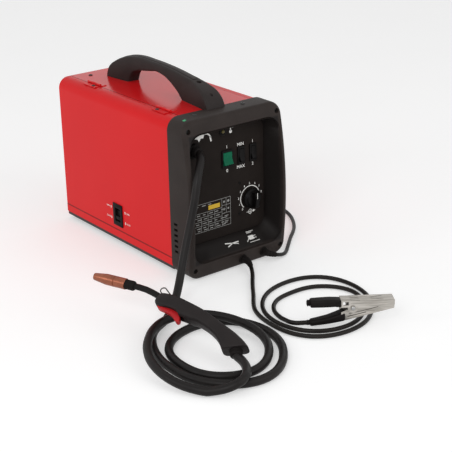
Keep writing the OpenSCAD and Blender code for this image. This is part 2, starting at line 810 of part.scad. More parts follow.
// Radius and height of the loops at every eighth of a turn, from 90 degrees on
torch_radii = [147, 106, 92, 105, 122, 110, 111, 114, 95, 81, 73, 83, 91, 86, 90, 97, 121, 114, 121, 134];
torch_heights = [8, 7.6, 7.6, 7.6, 7.6, 7.6, 7.6, 7.6, 7.6, 7.6, 7.6, 7.6, 7.6, 8, 13, 23.5, 25.5, 26,
                 17, 8];
torch_tail = [[-322, -592, 12], [-302, -602, 19.5], [-283, -597, 23.4], [-267, -579, 23.6],
              [-257, -557, 23.2]];
torch_loops = let (r = smooth(torch_radii, 3), z = smooth(torch_heights, 3))
    [for (k = [0 : len(r) - 1]) let (a = 90 + 15 * k)
        [torch_centre[0] + r[k] * cos(a), torch_centre[1] + r[k] * sin(a), z[k]]];
torch_exit = on_torch([0, 3.5, -10]);
torch_out = unit(on_torch([0, 4.125, -9.219]) - torch_exit);
torch_drop = smooth(torch_route, 2);
torch_run = concat(torch_loops, smooth(concat([torch_loops[len(torch_loops) - 1]], torch_tail,
    [torch_exit - 8 * torch_out, torch_exit]), 3));
torch_points = [for (k = [0 : len(torch_run) - 1])
    if (k == 0 || norm(torch_run[k] - torch_run[k - 1]) > 0.1) torch_run[k]];
torch_join = heading(concat([torch_drop[len(torch_drop) - 2]], [torch_points[0], torch_points[1]]), 1);
echo(torch_cable_self_gap = self_gap(torch_points, torch_cable / 2, 6));

module torch_lead() {
    color("#3a3a3b") tube(torch_drop, torch_cable / 2, 8, [0, -1, 0], torch_join);
}

module torch_coil() {
    color("#3a3a3b") tube(torch_points, torch_cable / 2, 8, torch_join, torch_out);
}

// Work clamp cable: route along the floor, then flat loops to the clamp
earth_route = [[10, -228, 15], [10, -238, 15], [6, -252, 11], [-6, -272, 5], [-24, -294, 4.1],
               [-46, -322, 4.1], [-64, -346, 4.1], [-82, -368, 4.1]];
earth_centre = [-3, -447];
// Radius of the loops at every eighth of a turn, from 135 degrees on
earth_radii = [112, 111, 126, 112, 99, 106, 121, 105, 96, 99, 106, 97, 84, 89, 78, 66, 74, 82];
earth_tail = [[-87, -464, 6], [-90, -478, 9], [-87, -489, 10.5]];
earth_end = clamp_at + [0, 0, -28.5];
clamp_way = [cos(clamp_turn), sin(clamp_turn), 0];
earth_loops = let (r = smooth(earth_radii, 3))
    [for (k = [0 : len(r) - 1]) let (a = 135 + 15 * k)
        [earth_centre[0] + r[k] * cos(a), earth_centre[1] + r[k] * sin(a), 4.1]];
earth_drop = smooth(earth_route, 2);
earth_run = concat(earth_loops, smooth(concat([earth_loops[len(earth_loops) - 1]], earth_tail,
    [earth_end - 9 * clamp_way, earth_end]), 3));
earth_points = [for (k = [0 : len(earth_run) - 1])
    if (k == 0 || norm(earth_run[k] - earth_run[k - 1]) > 0.1) earth_run[k]];
earth_join = heading(concat([earth_drop[len(earth_drop) - 2]], [earth_points[0], earth_points[1]]), 1);
echo(earth_cable_self_gap = self_gap(earth_points, earth_cable / 2, 6));

module earth_lead() {
    color("#3c3b3b") tube(earth_drop, earth_cable / 2, 8, [0, -1, 0], earth_join);
}

module earth_coil() {
    color("#3c3b3b") tube(earth_points, earth_cable / 2, 6, earth_join, clamp_way);
}

// Puts a clamp piece, drawn with its jaws towards +X, where it lies
module clamp_place() {
    translate(clamp_at) rotate([0, 0, clamp_turn]) children();
}

// Extrudes a shape drawn in X and Z to a width on both sides of Y = 0
module across(w) {
    along_y(-w / 2, w / 2) children();
}

module clamp_top_jaw() {
    color("#b9b6b0") clamp_place() difference() {
        union() {
            across(jaw_width)
                polygon([[58, 1.5], [58, 13], [70, 12.6], [150, 11], [150, 2.5], [90, 0.5], [70, 1.5]]);
            across(jaw_width) translate([pivot_x, 0]) circle(9);
        }
        across(jaw_width - 3.2)
            polygon([[50, -20], [50, 11.4], [58, 11.4], [70, 11], [148.4, 9.4], [148.4, -20]]);
        across(jaw_width + 2) translate([pivot_x, 0]) circle(3 + fit);
    }
}

module clamp_bottom_jaw() {
    inner = jaw_width - 3.2 - 2 * gap;
    color("#b9b6b0") clamp_place() {
        difference() {
            union() {
                across(inner)
                    polygon([[58, -8], [58, -25], [70, -22.5], [150, -5], [150, 2], [90, 0], [70, -3]]);
                across(inner) translate([pivot_x, 0]) circle(8);
            }
            across(inner - 3.2)
                polygon([[50, 30], [50, -25.1], [58, -23.4], [70, -20.9], [148.4, -3.75], [148.4, 30]]);
        }
        across(jaw_width + 4) translate([pivot_x, 0]) circle(3);
    }
}

module clamp_top_grip() {
    color("#252527") clamp_place() {
        across(20) polygon([[6, 2], [6, 14.5], [40, 15], [58, 13], [58, 1.5], [40, 1]]);
        translate([0, 0, 8.5]) rotate([0, 90, 0]) cylinder(r = 4.7, h = 7);
    }
}

module clamp_bottom_grip() {
    color("#252527") clamp_place() {
        across(18) polygon([[6, -23.5], [6, -33.5], [36, -30.5], [58, -24.8], [58, -11], [34, -18.5]]);
        translate([0, 0, -28.5]) rotate([0, 90, 0]) cylinder(r = 4.6, h = 7);
    }
}

// Torsion spring round the clamp pin, one unbroken wire with five curls
spring_points = [for (k = [0 : 40]) [pivot_x + 4.2 * cos(45 * k), -4.6 + 0.23 * k, 4.2 * sin(45 * k)]];
echo(clamp_spring_self_gap = self_gap(spring_points, 0.7, 6));

module clamp_spring() {
    color("#8f9194") clamp_place()
        tube(spring_points, 0.7, 6, heading(spring_points, 0), heading(spring_points, 40), [0, 1, 0]);
}

// Mains lead: route round the right side, then a tied two-layer coil behind the machine
mains_route = [[61, -228, 17], [61, -236, 17], [70, -242, 14], [88, -242, 8], [108, -234, 4.2],
               [135, -210, 3.9], [170, -178, 3.9], [206, -147, 3.9], [240, -100, 3.9], [257, -53, 3.9],
               [262, 0, 3.9], [258, 60, 3.9], [249, 110, 4.6], [245, 140, 5.4]];
mains_centre = [190, 140];
mains_turns = 5;
mains_pitch = 8.4;
mains_outer = 55;
// Spiral in on the floor, climb in the half turn where the spiral reverses, spiral out on top
mains_loops = let (n = 24 * mains_turns, half = n / 2)
    [for (k = [0 : n]) let (u = k / 24, back = max(u - mains_turns / 2, 0), on = min(u, mains_turns / 2),
        climb = min(max((k - half + 6) / 12, 0), 1), r = mains_outer - mains_pitch * (on - back))
        [mains_centre[0] + r * cos(15 * k), mains_centre[1] + r * sin(15 * k), 5.4 + 8.4 * climb]];
mains_end = [245, 200, 17.6];
mains_drop = smooth(mains_route, 2);
mains_run = concat(mains_loops, smooth([mains_loops[len(mains_loops) - 1], [245, 160, 14.4], [245, 178, 17],
    mains_end - [0, 9, 0], mains_end], 2));
mains_points = [for (k = [0 : len(mains_run) - 1])
    if (k == 0 || norm(mains_run[k] - mains_run[k - 1]) > 0.1) mains_run[k]];
mains_join = heading(concat([mains_drop[len(mains_drop) - 2]], [mains_points[0], mains_points[1]]), 1);
echo(mains_lead_self_gap = self_gap(mains_points, mains_cable / 2, 8));

module mains_lead() {
    color("#333334") tube(mains_drop, mains_cable / 2, 8, [0, -1, 0], mains_join);
}

module mains_coil() {
    color("#333334") tube(mains_points, mains_cable / 2, 6, mains_join, [0, 1, 0]);
}

module mains_tie() {
    color("#1a1a1a") translate([mains_centre[0], mains_centre[1], 0]) difference() {
        box([-62, -8, 0], [-26, 8, 19.2]);
        box([-60.5, -9, 1.3], [-27.5, 9, 17.9]);
    }
}

module mains_plug() {
    color("#222223") {
        translate(mains_end) rotate([-90, 0, 0]) rotate_extrude()
            polygon([[0, 0], [6, 0], [8, 14], [17.5, 20], [17.5, 36], [0, 36]]);
        for (s = [-1, 1])
            bar_y(mains_end[0] + s * 9.5, mains_end[2], mains_end[1] + 36, mains_end[1] + 55, 2.4);
    }
}

base_tray();
side_sills();
rear_panel();
top_plate();
right_panel();
side_door();
door_hinges();
carry_handle();
front_bezel();
case_screws();
rubber_feet();
divider_wall();
latch_plate();
latch_slider();
control_panel();
switch_frames();
power_rocker();
range_rocker();
step_rocker();
thermal_lamp();
control_board();
speed_knob();
torch_gland();
cord_glands();
transformer_core();
transformer_coils();
rectifier_sink();
fan_frame();
fan_rotor();
feed_motor();
feed_plate();
drive_roll();
pressure_arm();
pressure_roll();
tension_knob();
spool_hub();
wire_spool();
spool_wire();
gas_inlet();
torch_handle_left();
torch_handle_right();
torch_trigger();
torch_neck();
nozzle_collar();
gas_nozzle();
contact_tip();
torch_hook();
torch_lead();
torch_coil();
earth_lead();
earth_coil();
clamp_top_jaw();
clamp_bottom_jaw();
clamp_top_grip();
clamp_bottom_grip();
clamp_spring();
mains_lead();
mains_coil();
mains_tie();
mains_plug();
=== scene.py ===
import json
import math
import bpy
from mathutils import Matrix, Vector

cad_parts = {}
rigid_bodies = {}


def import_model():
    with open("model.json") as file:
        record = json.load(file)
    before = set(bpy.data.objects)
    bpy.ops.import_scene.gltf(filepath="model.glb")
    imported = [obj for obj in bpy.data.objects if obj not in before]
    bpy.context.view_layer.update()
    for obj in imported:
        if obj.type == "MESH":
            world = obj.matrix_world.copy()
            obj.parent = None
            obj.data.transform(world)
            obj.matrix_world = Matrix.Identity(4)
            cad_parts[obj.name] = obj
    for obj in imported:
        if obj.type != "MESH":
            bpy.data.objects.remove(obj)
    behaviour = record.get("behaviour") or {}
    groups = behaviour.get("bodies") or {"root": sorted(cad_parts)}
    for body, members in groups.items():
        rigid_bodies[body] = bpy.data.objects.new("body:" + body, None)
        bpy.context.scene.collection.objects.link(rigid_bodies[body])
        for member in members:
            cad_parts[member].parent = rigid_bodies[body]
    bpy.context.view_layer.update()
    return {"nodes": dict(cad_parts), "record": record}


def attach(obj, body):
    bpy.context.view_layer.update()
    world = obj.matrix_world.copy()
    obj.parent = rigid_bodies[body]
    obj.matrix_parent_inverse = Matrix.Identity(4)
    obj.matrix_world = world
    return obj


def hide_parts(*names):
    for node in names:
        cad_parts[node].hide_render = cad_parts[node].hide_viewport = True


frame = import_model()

nodes = frame["nodes"]

# The studio: a pale seamless floor, a soft lamp from the upper left, a weaker one from the front and a
# small one beside the door, and a long lens at the height and angle of the photograph.
back_yaw, back_tilt, roll = math.radians(-37.45), math.radians(21.94), math.radians(-1.22)
lens_spot = (-1.3111, -1.89683, 0.94235)
back = Vector((math.sin(back_yaw) * math.cos(back_tilt), -math.cos(back_yaw) * math.cos(back_tilt),
               math.sin(back_tilt)))
right = Vector((0, 0, 1)).cross(back).normalized()
up = back.cross(right)
right, up = right * math.cos(roll) + up * math.sin(roll), up * math.cos(roll) - right * math.sin(roll)
eye = Matrix((right, up, back)).transposed().to_4x4()
eye.translation = lens_spot
lens = bpy.data.cameras.new("studio_lens")
lens.sensor_width, lens.lens = 36, 96.46
lens.clip_start, lens.clip_end = 0.05, 60
camera = bpy.data.objects.new("studio_camera", lens)
bpy.context.scene.collection.objects.link(camera)
camera.matrix_world = eye
bpy.context.scene.camera = camera
bpy.context.scene.view_settings.view_transform = "Standard"


def soft_lamp(name, at, towards, size, power):
    lamp = bpy.data.lights.new(name, "AREA")
    lamp.shape, lamp.size, lamp.energy = "DISK", size, power
    holder = bpy.data.objects.new(name, lamp)
    bpy.context.scene.collection.objects.link(holder)
    holder.location = at
    holder.rotation_euler = (Vector(at) - Vector(towards)).to_track_quat("Z", "Y").to_euler()


soft_lamp("key_lamp", (-2.3, -1.8, 1.8), (0, -0.1, 0.15), 1.5, 26)
soft_lamp("fill_lamp", (0.9, -2.8, 1.5), (0, -0.2, 0.15), 2.4, 19)
soft_lamp("side_lamp", (-2.6, 0.4, 1.3), (0, -0.1, 0.15), 0.9, 7)
sky = bpy.data.worlds.new("studio_sky")
bpy.context.scene.world = sky
sky.use_nodes = True
sky_tree = sky.node_tree
sky_light = sky_tree.nodes["Background"]
sky_light.inputs["Color"].default_value = (1, 1, 1, 1)
sky_light.inputs["Strength"].default_value = 0.57
seen_white = sky_tree.nodes.new("ShaderNodeBackground")
seen_white.inputs["Color"].default_value = (1, 1, 1, 1)
path = sky_tree.nodes.new("ShaderNodeLightPath")
either = sky_tree.nodes.new("ShaderNodeMath")
either.operation = "MAXIMUM"
any_seen = sky_tree.nodes.new("ShaderNodeMath")
any_seen.operation = "MAXIMUM"
sky_mix = sky_tree.nodes.new("ShaderNodeMixShader")
sky_tree.links.new(path.outputs["Is Camera Ray"], either.inputs[0])
sky_tree.links.new(path.outputs["Is Glossy Ray"], either.inputs[1])
sky_tree.links.new(either.outputs[0], any_seen.inputs[0])
sky_tree.links.new(path.outputs["Is Transmission Ray"], any_seen.inputs[1])
sky_tree.links.new(any_seen.outputs[0], sky_mix.inputs[0])
sky_tree.links.new(sky_light.outputs[0], sky_mix.inputs[1])
sky_tree.links.new(seen_white.outputs[0], sky_mix.inputs[2])
sky_tree.links.new(sky_mix.outputs[0], sky_tree.nodes["World Output"].inputs[0])


class Amount:
    """A number that changes over a surface. Sums and products of amounts add Math nodes."""

    def __init__(self, finish, socket):
        self.finish, self.socket = finish, socket

    def math(self, operation, first, second):
        return self.finish.node("ShaderNodeMath", {"operation": operation}, [first, second])

    def __add__(self, other):
        return self.math("ADD", self, other)

    __radd__ = __add__

    def __sub__(self, other):
        return self.math("SUBTRACT", self, other)

    def __mul__(self, other):
        return self.math("MULTIPLY", self, other)

    __rmul__ = __mul__

    def __abs__(self):
        return self.finish.node("ShaderNodeMath", {"operation": "ABSOLUTE"}, [self])


class Finish:
    """One material: a Principled shader and the nodes that feed it."""

    def __init__(self, name, **constants):
        self.material = bpy.data.materials.new(name)
        self.material.use_nodes = True
        self.tree = self.material.node_tree
        self.shader = self.tree.nodes["Principled BSDF"]
        for key, value in constants.items():
            self.shader.inputs[key.replace("_", " ")].default_value = value

    def feed(self, socket, value):
        if isinstance(value, Amount):
            self.tree.links.new(value.socket, socket)
        elif isinstance(value, (tuple, list)) and len(value) == 3 and socket.type == "RGBA":
            socket.default_value = (*value, 1)
        else:
            socket.default_value = value

    def node(self, kind, settings=None, values=(), out=0):
        made = self.tree.nodes.new(kind)
        for key, value in (settings or {}).items():
            setattr(made, key, value)
        pairs = values.items() if isinstance(values, dict) else enumerate(values)
        for key, value in pairs:
            self.feed(made.inputs[key], value)
        return Amount(self, made.outputs[out])

    def where(self, stretch=None):
        at = self.node("ShaderNodeTexCoord", out="Object")
        if stretch:
            at = self.node("ShaderNodeMapping", {}, {"Vector": at, "Scale": stretch})
        return at

    def noise(self, scale, detail=3.0, rough=0.55, at=None):
        return self.node("ShaderNodeTexNoise", {}, {
            "Vector": at or self.where(), "Scale": scale, "Detail": detail, "Roughness": rough})

    def part(self, at, axis):
        return self.node("ShaderNodeSeparateXYZ", {}, [at], out=axis)

    def ramp(self, amount, low, high):
        return self.node("ShaderNodeMapRange", {"clamp": True}, {
            "Value": amount, "From Min": low, "From Max": high})

    def mix(self, amount, first, second):
        return self.node("ShaderNodeMix", {"data_type": "RGBA"}, {0: amount, 6: first, 7: second}, out=2)

    def bump(self, height, depth, strength):
        return self.node("ShaderNodeBump", {}, {"Height": height, "Distance": depth, "Strength": strength})

    def set(self, **values):
        for key, value in values.items():
            self.feed(self.shader.inputs[key.replace("_", " ")], value)
        return self.material


floor_size, floor_height = 30, -0.0006
bpy.ops.object.select_all(action="DESELECT")
bpy.ops.mesh.primitive_grid_add(x_subdivisions=8, y_subdivisions=8, size=floor_size,
                                location=(0, 0, floor_height))
floor = bpy.context.object
floor.name = "studio_floor"
paper = Finish("studio_paper", Roughness=0.9, Specular_IOR_Level=0.1, Emission_Color=(1, 1, 1, 1),
               Emission_Strength=0.39)
floor.data.materials.append(paper.set(
    Base_Color=paper.mix(paper.noise(3.0), (0.71, 0.71, 0.71), (0.73, 0.73, 0.73))))

# The base: a folded steel tray with a frame at the front, painted satin black, on four moulded rubber feet
# that are screwed up from below.
body_of = {name: body for body, kept in frame["record"]["behaviour"]["bodies"].items() for name in kept}
weld_gap = 0.000002
smooth_below, bevel_above = math.radians(38), math.radians(40)


def dress(name, material):
    """Gives a node of the frame its finish."""
    mesh = nodes[name].data
    mesh.materials.clear()
    mesh.materials.append(material)


def settle(made, name, material, stands_for=True):
    """Fixes a piece to the body of the named node, which it stands for unless it is an extra."""
    made.data.materials.clear()
    made.data.materials.append(material)
    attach(made, body_of[name])
    if stands_for:
        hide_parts(name)
    return made


def pick(made):
    bpy.ops.object.select_all(action="DESELECT")
    made.select_set(True)
    bpy.context.view_layer.objects.active = made


def clean_copy(name, new_name):
    """A welded copy of a node, without the loose triangles' inner edges."""
    made = bpy.data.objects.new(new_name, nodes[name].data.copy())
    bpy.context.scene.collection.objects.link(made)
    pick(made)
    bpy.ops.mesh.customdata_custom_splitnormals_clear()
    bpy.ops.object.mode_set(mode="EDIT")
    bpy.ops.mesh.select_all(action="SELECT")
    bpy.ops.mesh.remove_doubles(threshold=weld_gap)
    bpy.ops.mesh.dissolve_limited(angle_limit=math.radians(0.4))
    bpy.ops.object.mode_set(mode="OBJECT")
    return made


def softened(name, new_name, width, material, segments):
    """A copy of a node with its sharp edges rounded, which stands for it."""
    made = clean_copy(name, new_name)
    edge = made.modifiers.new("soft_edge", "BEVEL")
    edge.width, edge.segments = width, segments
    edge.limit_method, edge.angle_limit = "ANGLE", bevel_above
    pick(made)
    bpy.ops.object.modifier_apply(modifier="soft_edge")
    bpy.ops.object.shade_smooth_by_angle(angle=smooth_below)
    return settle(made, name, material)


def satin_paint(name, colour, lighter, rough):
    made = Finish(name, Specular_IOR_Level=0.35)
    where = made.where()
    cloud, grain = made.noise(14, 3, at=where), made.noise(700, 2, at=where)
    return made.set(Base_Color=made.mix(cloud, colour, lighter), Roughness=rough + 0.14 * cloud,
                    Normal=made.bump(grain, 0.0003, 0.3))


def moulded(name, colour, dust, rough, grain, depth=0.0005, shine=0.28):
    made = Finish(name, Specular_IOR_Level=shine)
    where = made.where()
    cloud, fine = made.noise(24, 4, 0.6, at=where), made.noise(grain, 2, 0.5, at=where)
    return made.set(Base_Color=made.mix(made.ramp(cloud, 0.35, 0.75), colour, dust),
                    Roughness=rough + 0.16 * cloud, Normal=made.bump(fine, depth, 0.4))


foot_rubber = moulded("foot_rubber", (0.016, 0.015, 0.015), (0.030, 0.028, 0.026), 0.62, 1100)
dress("base_tray", satin_paint("tray_paint", (0.016, 0.015, 0.015), (0.024, 0.022, 0.021), 0.42))
softened("rubber_feet", "moulded_feet", 0.0025, foot_rubber, 3)

# The red case: folded sheet steel with a thick glossy baked enamel. The top, the right side, the rear and the
# sills are fixed; the left side is the door, which hangs on two stamped hinges at the top edge.


def enamel(name, shift, shine, rough, axis=None, seam=0.0):
    """Red enamel with worn specks, and a painted shadow line at a seam that lies this far out along an axis."""
    made = Finish(name, Specular_IOR_Level=shine)
    where = made.where()
    cloud, peel = made.noise(5.0 + shift, 2, at=where), made.noise(260, 2, at=where)
    speck = made.noise(90 + shift, 4, 0.7, at=where)
    worn = made.ramp(speck, 0.71, 0.77)
    tone = made.mix(cloud, (0.60, 0.008, 0.011), (0.68, 0.013, 0.015))
    if axis is not None:
        # A dark line along the seam: painted shade in the narrow gap between the sheets.
        off_seam = abs(abs(made.part(where, axis)) - seam)
        tone = made.mix(0.8 * made.ramp(off_seam, 0.0016, 0.0006), tone, (0.09, 0.006, 0.006))
    return made.set(Base_Color=made.mix(worn * 0.3, tone, (0.40, 0.02, 0.02)),
                    Roughness=rough + 0.06 * cloud + 0.15 * worn, Normal=made.bump(peel, 0.0001, 0.12))


door_seam, sill_seam, roof_seam = 0.0314, 0.0310, 0.0835
for shift, (name, axis, seam) in enumerate([("side_door", 2, door_seam), ("side_sills", 2, sill_seam),
                                            ("rear_panel", None, 0), ("right_panel", 2, sill_seam)]):
    dress(name, enamel("red_enamel_" + name, 0.4 * shift, 0.10, 0.28, axis, seam))
dress("top_plate", enamel("red_enamel_top_plate", 2, 0.15, 0.14, 0, roof_seam))
dress("door_hinges", enamel("red_enamel_door_hinges", 2.4, 0.20, 0.16))

# The screws: black pan-head machine screws with a cross recess, at the front corners, on the top and through
# the hinge leaves on the door.


def ring_of(radius, height, count):
    turns = [2 * math.pi * k / count for k in range(count)]
    return [Vector((radius * math.cos(a), radius * math.sin(a), height)) for a in turns]


def lofted(name, rings, place=Matrix(), open_ends=False):
    """A skin over closed rings of points, capped at both ends unless it is left open."""
    bpy.ops.object.select_all(action="DESELECT")
    around = len(rings[0])
    bpy.ops.mesh.primitive_grid_add(x_subdivisions=around, y_subdivisions=len(rings) - 1, size=0.1)
    made = bpy.context.object
    made.name = name
    for i, vertex in enumerate(made.data.vertices):
        row, column = divmod(i, around + 1)
        vertex.co = place @ rings[row][column % around]
    bpy.ops.object.mode_set(mode="EDIT")
    bpy.ops.mesh.select_all(action="SELECT")
    bpy.ops.mesh.remove_doubles(threshold=weld_gap)
    if not open_ends:
        bpy.ops.mesh.select_all(action="SELECT")
        bpy.ops.mesh.fill_holes(sides=0)
    bpy.ops.mesh.select_all(action="SELECT")
    bpy.ops.mesh.normals_make_consistent(inside=False)
    bpy.ops.object.mode_set(mode="OBJECT")
    bpy.ops.object.shade_smooth_by_angle(angle=smooth_below)
    return made


def turned(name, profile, place, count=32):
    """A turned piece: a profile of (radius, height) round the Z axis of its place."""
    return lofted(name, [ring_of(radius, height, count) for radius, height in profile], place)


def facing(at, way, spin=0.0):
    """A place at a point, with its Z axis pointing the given way."""
    turn = Vector(way).to_track_quat("Z", "Y").to_matrix().to_4x4()
    return Matrix.Translation(at) @ turn @ Matrix.Rotation(spin, 4, "Z")


def box_at(name, low, high, place=Matrix()):
    bpy.ops.object.select_all(action="DESELECT")
    bpy.ops.mesh.primitive_cube_add(size=1)
    made = bpy.context.object
    made.name = name
    for vertex in made.data.vertices:
        vertex.co = place @ Vector([high[i] if vertex.co[i] > 0 else low[i] for i in range(3)])
    return made


def cut(made, tool, how="DIFFERENCE"):
    """Cuts a tool shape out of a piece, or melts it in with UNION, and throws the tool away."""
    pick(made)
    knife = made.modifiers.new("cut", "BOOLEAN")
    knife.object, knife.operation, knife.solver = tool, how, "EXACT"
    bpy.ops.object.modifier_apply(modifier="cut")
    mesh = tool.data
    bpy.data.objects.remove(tool)
    bpy.data.meshes.remove(mesh)


def joined(name, pieces):
    bpy.ops.object.select_all(action="DESELECT")
    for piece in pieces:
        piece.select_set(True)
    bpy.context.view_layer.objects.active = pieces[0]
    bpy.ops.object.join()
    pieces[0].name = name
    return pieces[0]


def cross_screw(name, at, way, radius, height, spin):
    place = facing(at, way, spin)
    made = turned(name, [(radius, 0), (radius, 0.35 * height), (0.86 * radius, 0.8 * height),
                         (0.55 * radius, height), (0, height)], place, 24)
    for half in [(0.58 * radius, 0.15 * radius), (0.15 * radius, 0.58 * radius)]:
        cut(made, box_at("slot", (-half[0], -half[1], 0.45 * height), (half[0], half[1], 2 * height), place))
    return made


black_oxide = satin_paint("black_oxide", (0.010, 0.010, 0.010), (0.022, 0.021, 0.020), 0.38)
front_corners = [(-103, -208, 290), (103, -208, 290), (-103, -217, 21), (103, -217, 21)]
roof_spots = [(-51, 195, 305), (51, 195, 305), (-66, -184, 308), (46, -184, 308)]
head_radius, hinge_head_radius = 0.0042, 0.0036
screws = []
for k, spot in enumerate(front_corners):
    screws.append(cross_screw("front_screw", Vector(spot) / 1000, (0, -1, 0), head_radius, 0.003, 0.4 * k))
for k, spot in enumerate(roof_spots):
    screws.append(cross_screw("top_screw", Vector(spot) / 1000, (0, 0, 1), head_radius, 0.0019, 0.3 + 0.5 * k))
settle(joined("case_screw_heads", screws), "case_screws", black_oxide)
hinge_screws = [cross_screw("hinge_screw", Vector((-93, y, 306.4)) / 1000, (0, 0, 1), hinge_head_radius, 0.0018,
                            0.3) for y in (117, -104)]
settle(joined("hinge_screw_heads", hinge_screws), "side_door", black_oxide, False)

# The door latch: a black moulded plate snapped into the door, with a slider in its well that is pushed up to
# free the door. White arrows and words are printed on the red paint at both sides.
latch_black = moulded("latch_black", (0.0050, 0.0042, 0.0042), (0.009, 0.0078, 0.0078), 0.42, 1300,
                      0.0003, 0.10)
softened("latch_plate", "latch_frame", 0.0009, latch_black, 3)
softened("latch_slider", "latch_thumb", 0.0006, latch_black, 2)


def print_ink(name, colour):
    made = Finish(name, Specular_IOR_Level=0.3)
    where = made.where()
    wear = made.noise(520, 3, 0.6, at=where)
    faded = tuple(0.82 * c for c in colour)
    return made.set(Base_Color=made.mix(made.ramp(wear, 0.45, 0.75), colour, faded),
                    Roughness=0.45 + 0.2 * wear)


white_ink = print_ink("white_ink", (0.80, 0.79, 0.76))
ink_lift = 0.00012


def printed(shapes, place, lift=ink_lift):
    """Flat polygons, each a list of (x, y) in millimetres, laid a hair above a surface."""
    made = []
    for outline in shapes:
        bpy.ops.object.select_all(action="DESELECT")
        bpy.ops.mesh.primitive_circle_add(vertices=len(outline), radius=0.01, fill_type="NGON")
        flat = bpy.context.object
        for vertex, (x, y) in zip(flat.data.vertices, outline):
            vertex.co = place @ Vector((x / 1000, y / 1000, lift))
        made.append(flat)
    return made


def lettered(word, size, at, place):
    """A word of plain printed letters, centred at a place in millimetres."""
    bpy.ops.object.select_all(action="DESELECT")
    bpy.ops.object.text_add()
    made = bpy.context.object
    made.data.body, made.data.size = word, size / 1000
    made.data.align_x, made.data.align_y = "CENTER", "CENTER"
    made.data.offset = 0.00006
    made.data.resolution_u = 3
    bpy.ops.object.convert(target="MESH")
    for vertex in made.data.vertices:
        vertex.co = place @ Vector((vertex.co.x + at[0] / 1000, vertex.co.y + at[1] / 1000, ink_lift))
    return made


def bar(x0, y0, x1, y1, wide):
    """The outline of a straight stroke."""
    run = math.hypot(x1 - x0, y1 - y0)
    nx, ny = -(y1 - y0) / run * wide / 2, (x1 - x0) / run * wide / 2
    return [(x0 + nx, y0 + ny), (x0 - nx, y0 - ny), (x1 - nx, y1 - ny), (x1 + nx, y1 + ny)]


def disc(x, y, radius, count=20):
    return [(x + radius * math.cos(2 * math.pi * k / count), y + radius * math.sin(2 * math.pi * k / count))
            for k in range(count)]


def arc_band(x, y, radius, wide, start, stop, count):
    """The outlines of a curved stroke, in short pieces between two angles in degrees."""
    shapes = []
    for k in range(count):
        a, b = sorted(math.radians(start + (stop - start) * t / count) for t in (k, k + 1))
        shapes.append([(x + r * math.cos(t), y + r * math.sin(t))
                       for r, t in ((radius - wide / 2, a), (radius + wide / 2, a), (radius + wide / 2, b),
                                    (radius - wide / 2, b))])
    return shapes


def ink_piece(name, pieces, material, carrier):
    """Makes one print of its marks, which rides with the node that carries it."""
    made = joined(name, pieces)
    pick(made)
    bpy.ops.object.mode_set(mode="EDIT")
    bpy.ops.mesh.select_all(action="SELECT")
    bpy.ops.mesh.remove_doubles(threshold=0.000001)
    bpy.ops.object.mode_set(mode="OBJECT")
    settle(made, carrier, material, False)


door_face, latch_y, latch_z = -0.112, 0.021, 0.064
door_side = Matrix(((0, 0, -1, door_face), (-1, 0, 0, latch_y), (0, 1, 0, latch_z), (0, 0, 0, 1)))
latch_marks = []
for side in (-1, 1):
    arrow = side * 25
    for height, way in ((11, 1), (-11, -1)):
        tip = height + 3.4 * way
        latch_marks += printed([[(arrow - 2.2, height), (arrow + 2.2, height), (arrow, tip)][::way],
                                bar(arrow, height - 3.2 * way, arrow, height, 1.4)], door_side)
        latch_marks.append(lettered("OPEN" if way > 0 else "CLOSE", 4.4, (side * 35.5, height), door_side))
ink_piece("latch_marks", latch_marks, white_ink, "side_door")

# The carrying handle: one long moulding with a fine grain, bolted to the roof behind the front. Its top has a
# low strip, and a screw well and a small hole in its front slope.


def vectors(points):
    return [Vector(p) / 1000 for p in points]


def eased_run(points, steps):
    """A smooth run through points or numbers, with this many steps between each two."""
    made, last = [], len(points) - 1
    for i in range(last):
        p0, p1, p2, p3 = points[max(i - 1, 0)], points[i], points[i + 1], points[min(i + 2, last)]
        for k in range(steps):
            t = k / steps
            made.append(0.5 * (2 * p1 + (p2 - p0) * t + (2 * p0 - 5 * p1 + 4 * p2 - p3) * t * t
                               + (3 * p1 - p0 - 3 * p2 + p3) * t * t * t))
    return made + [points[last]]


def slab(name, outline, low, high):
    """A closed slab: an outline of (y, z) points in metres, drawn out along X from low to high."""
    bpy.ops.object.select_all(action="DESELECT")
    bpy.ops.mesh.primitive_circle_add(vertices=len(outline), radius=0.01, fill_type="NGON")
    made = bpy.context.object
    made.name = name
    for vertex, (y, z) in zip(made.data.vertices, outline):
        vertex.co = (low, y, z)
    bpy.ops.object.mode_set(mode="EDIT")
    bpy.ops.mesh.select_all(action="SELECT")
    bpy.ops.mesh.extrude_region_move(TRANSFORM_OT_translate={"value": (high - low, 0, 0)})
    bpy.ops.mesh.select_all(action="SELECT")
    bpy.ops.mesh.normals_make_consistent(inside=False)
    bpy.ops.object.mode_set(mode="OBJECT")
    return made


def round_edges(made, chosen, width, segments):
    """Bevels the edges whose two ends pass the given test."""
    pick(made)
    points = [v.co.copy() for v in made.data.vertices]
    bpy.ops.object.mode_set(mode="EDIT")
    bpy.ops.mesh.select_mode(type="EDGE")
    bpy.ops.mesh.select_all(action="DESELECT")
    bpy.ops.object.mode_set(mode="OBJECT")
    for edge in made.data.edges:
        edge.select = chosen(points[edge.vertices[0]], points[edge.vertices[1]])
    bpy.ops.object.mode_set(mode="EDIT")
    bpy.ops.mesh.bevel(offset=width, segments=segments, affect="EDGES", clamp_overlap=False)
    bpy.ops.mesh.select_mode(type="VERT")
    bpy.ops.object.mode_set(mode="OBJECT")
    bpy.ops.object.shade_smooth_by_angle(angle=math.radians(30))


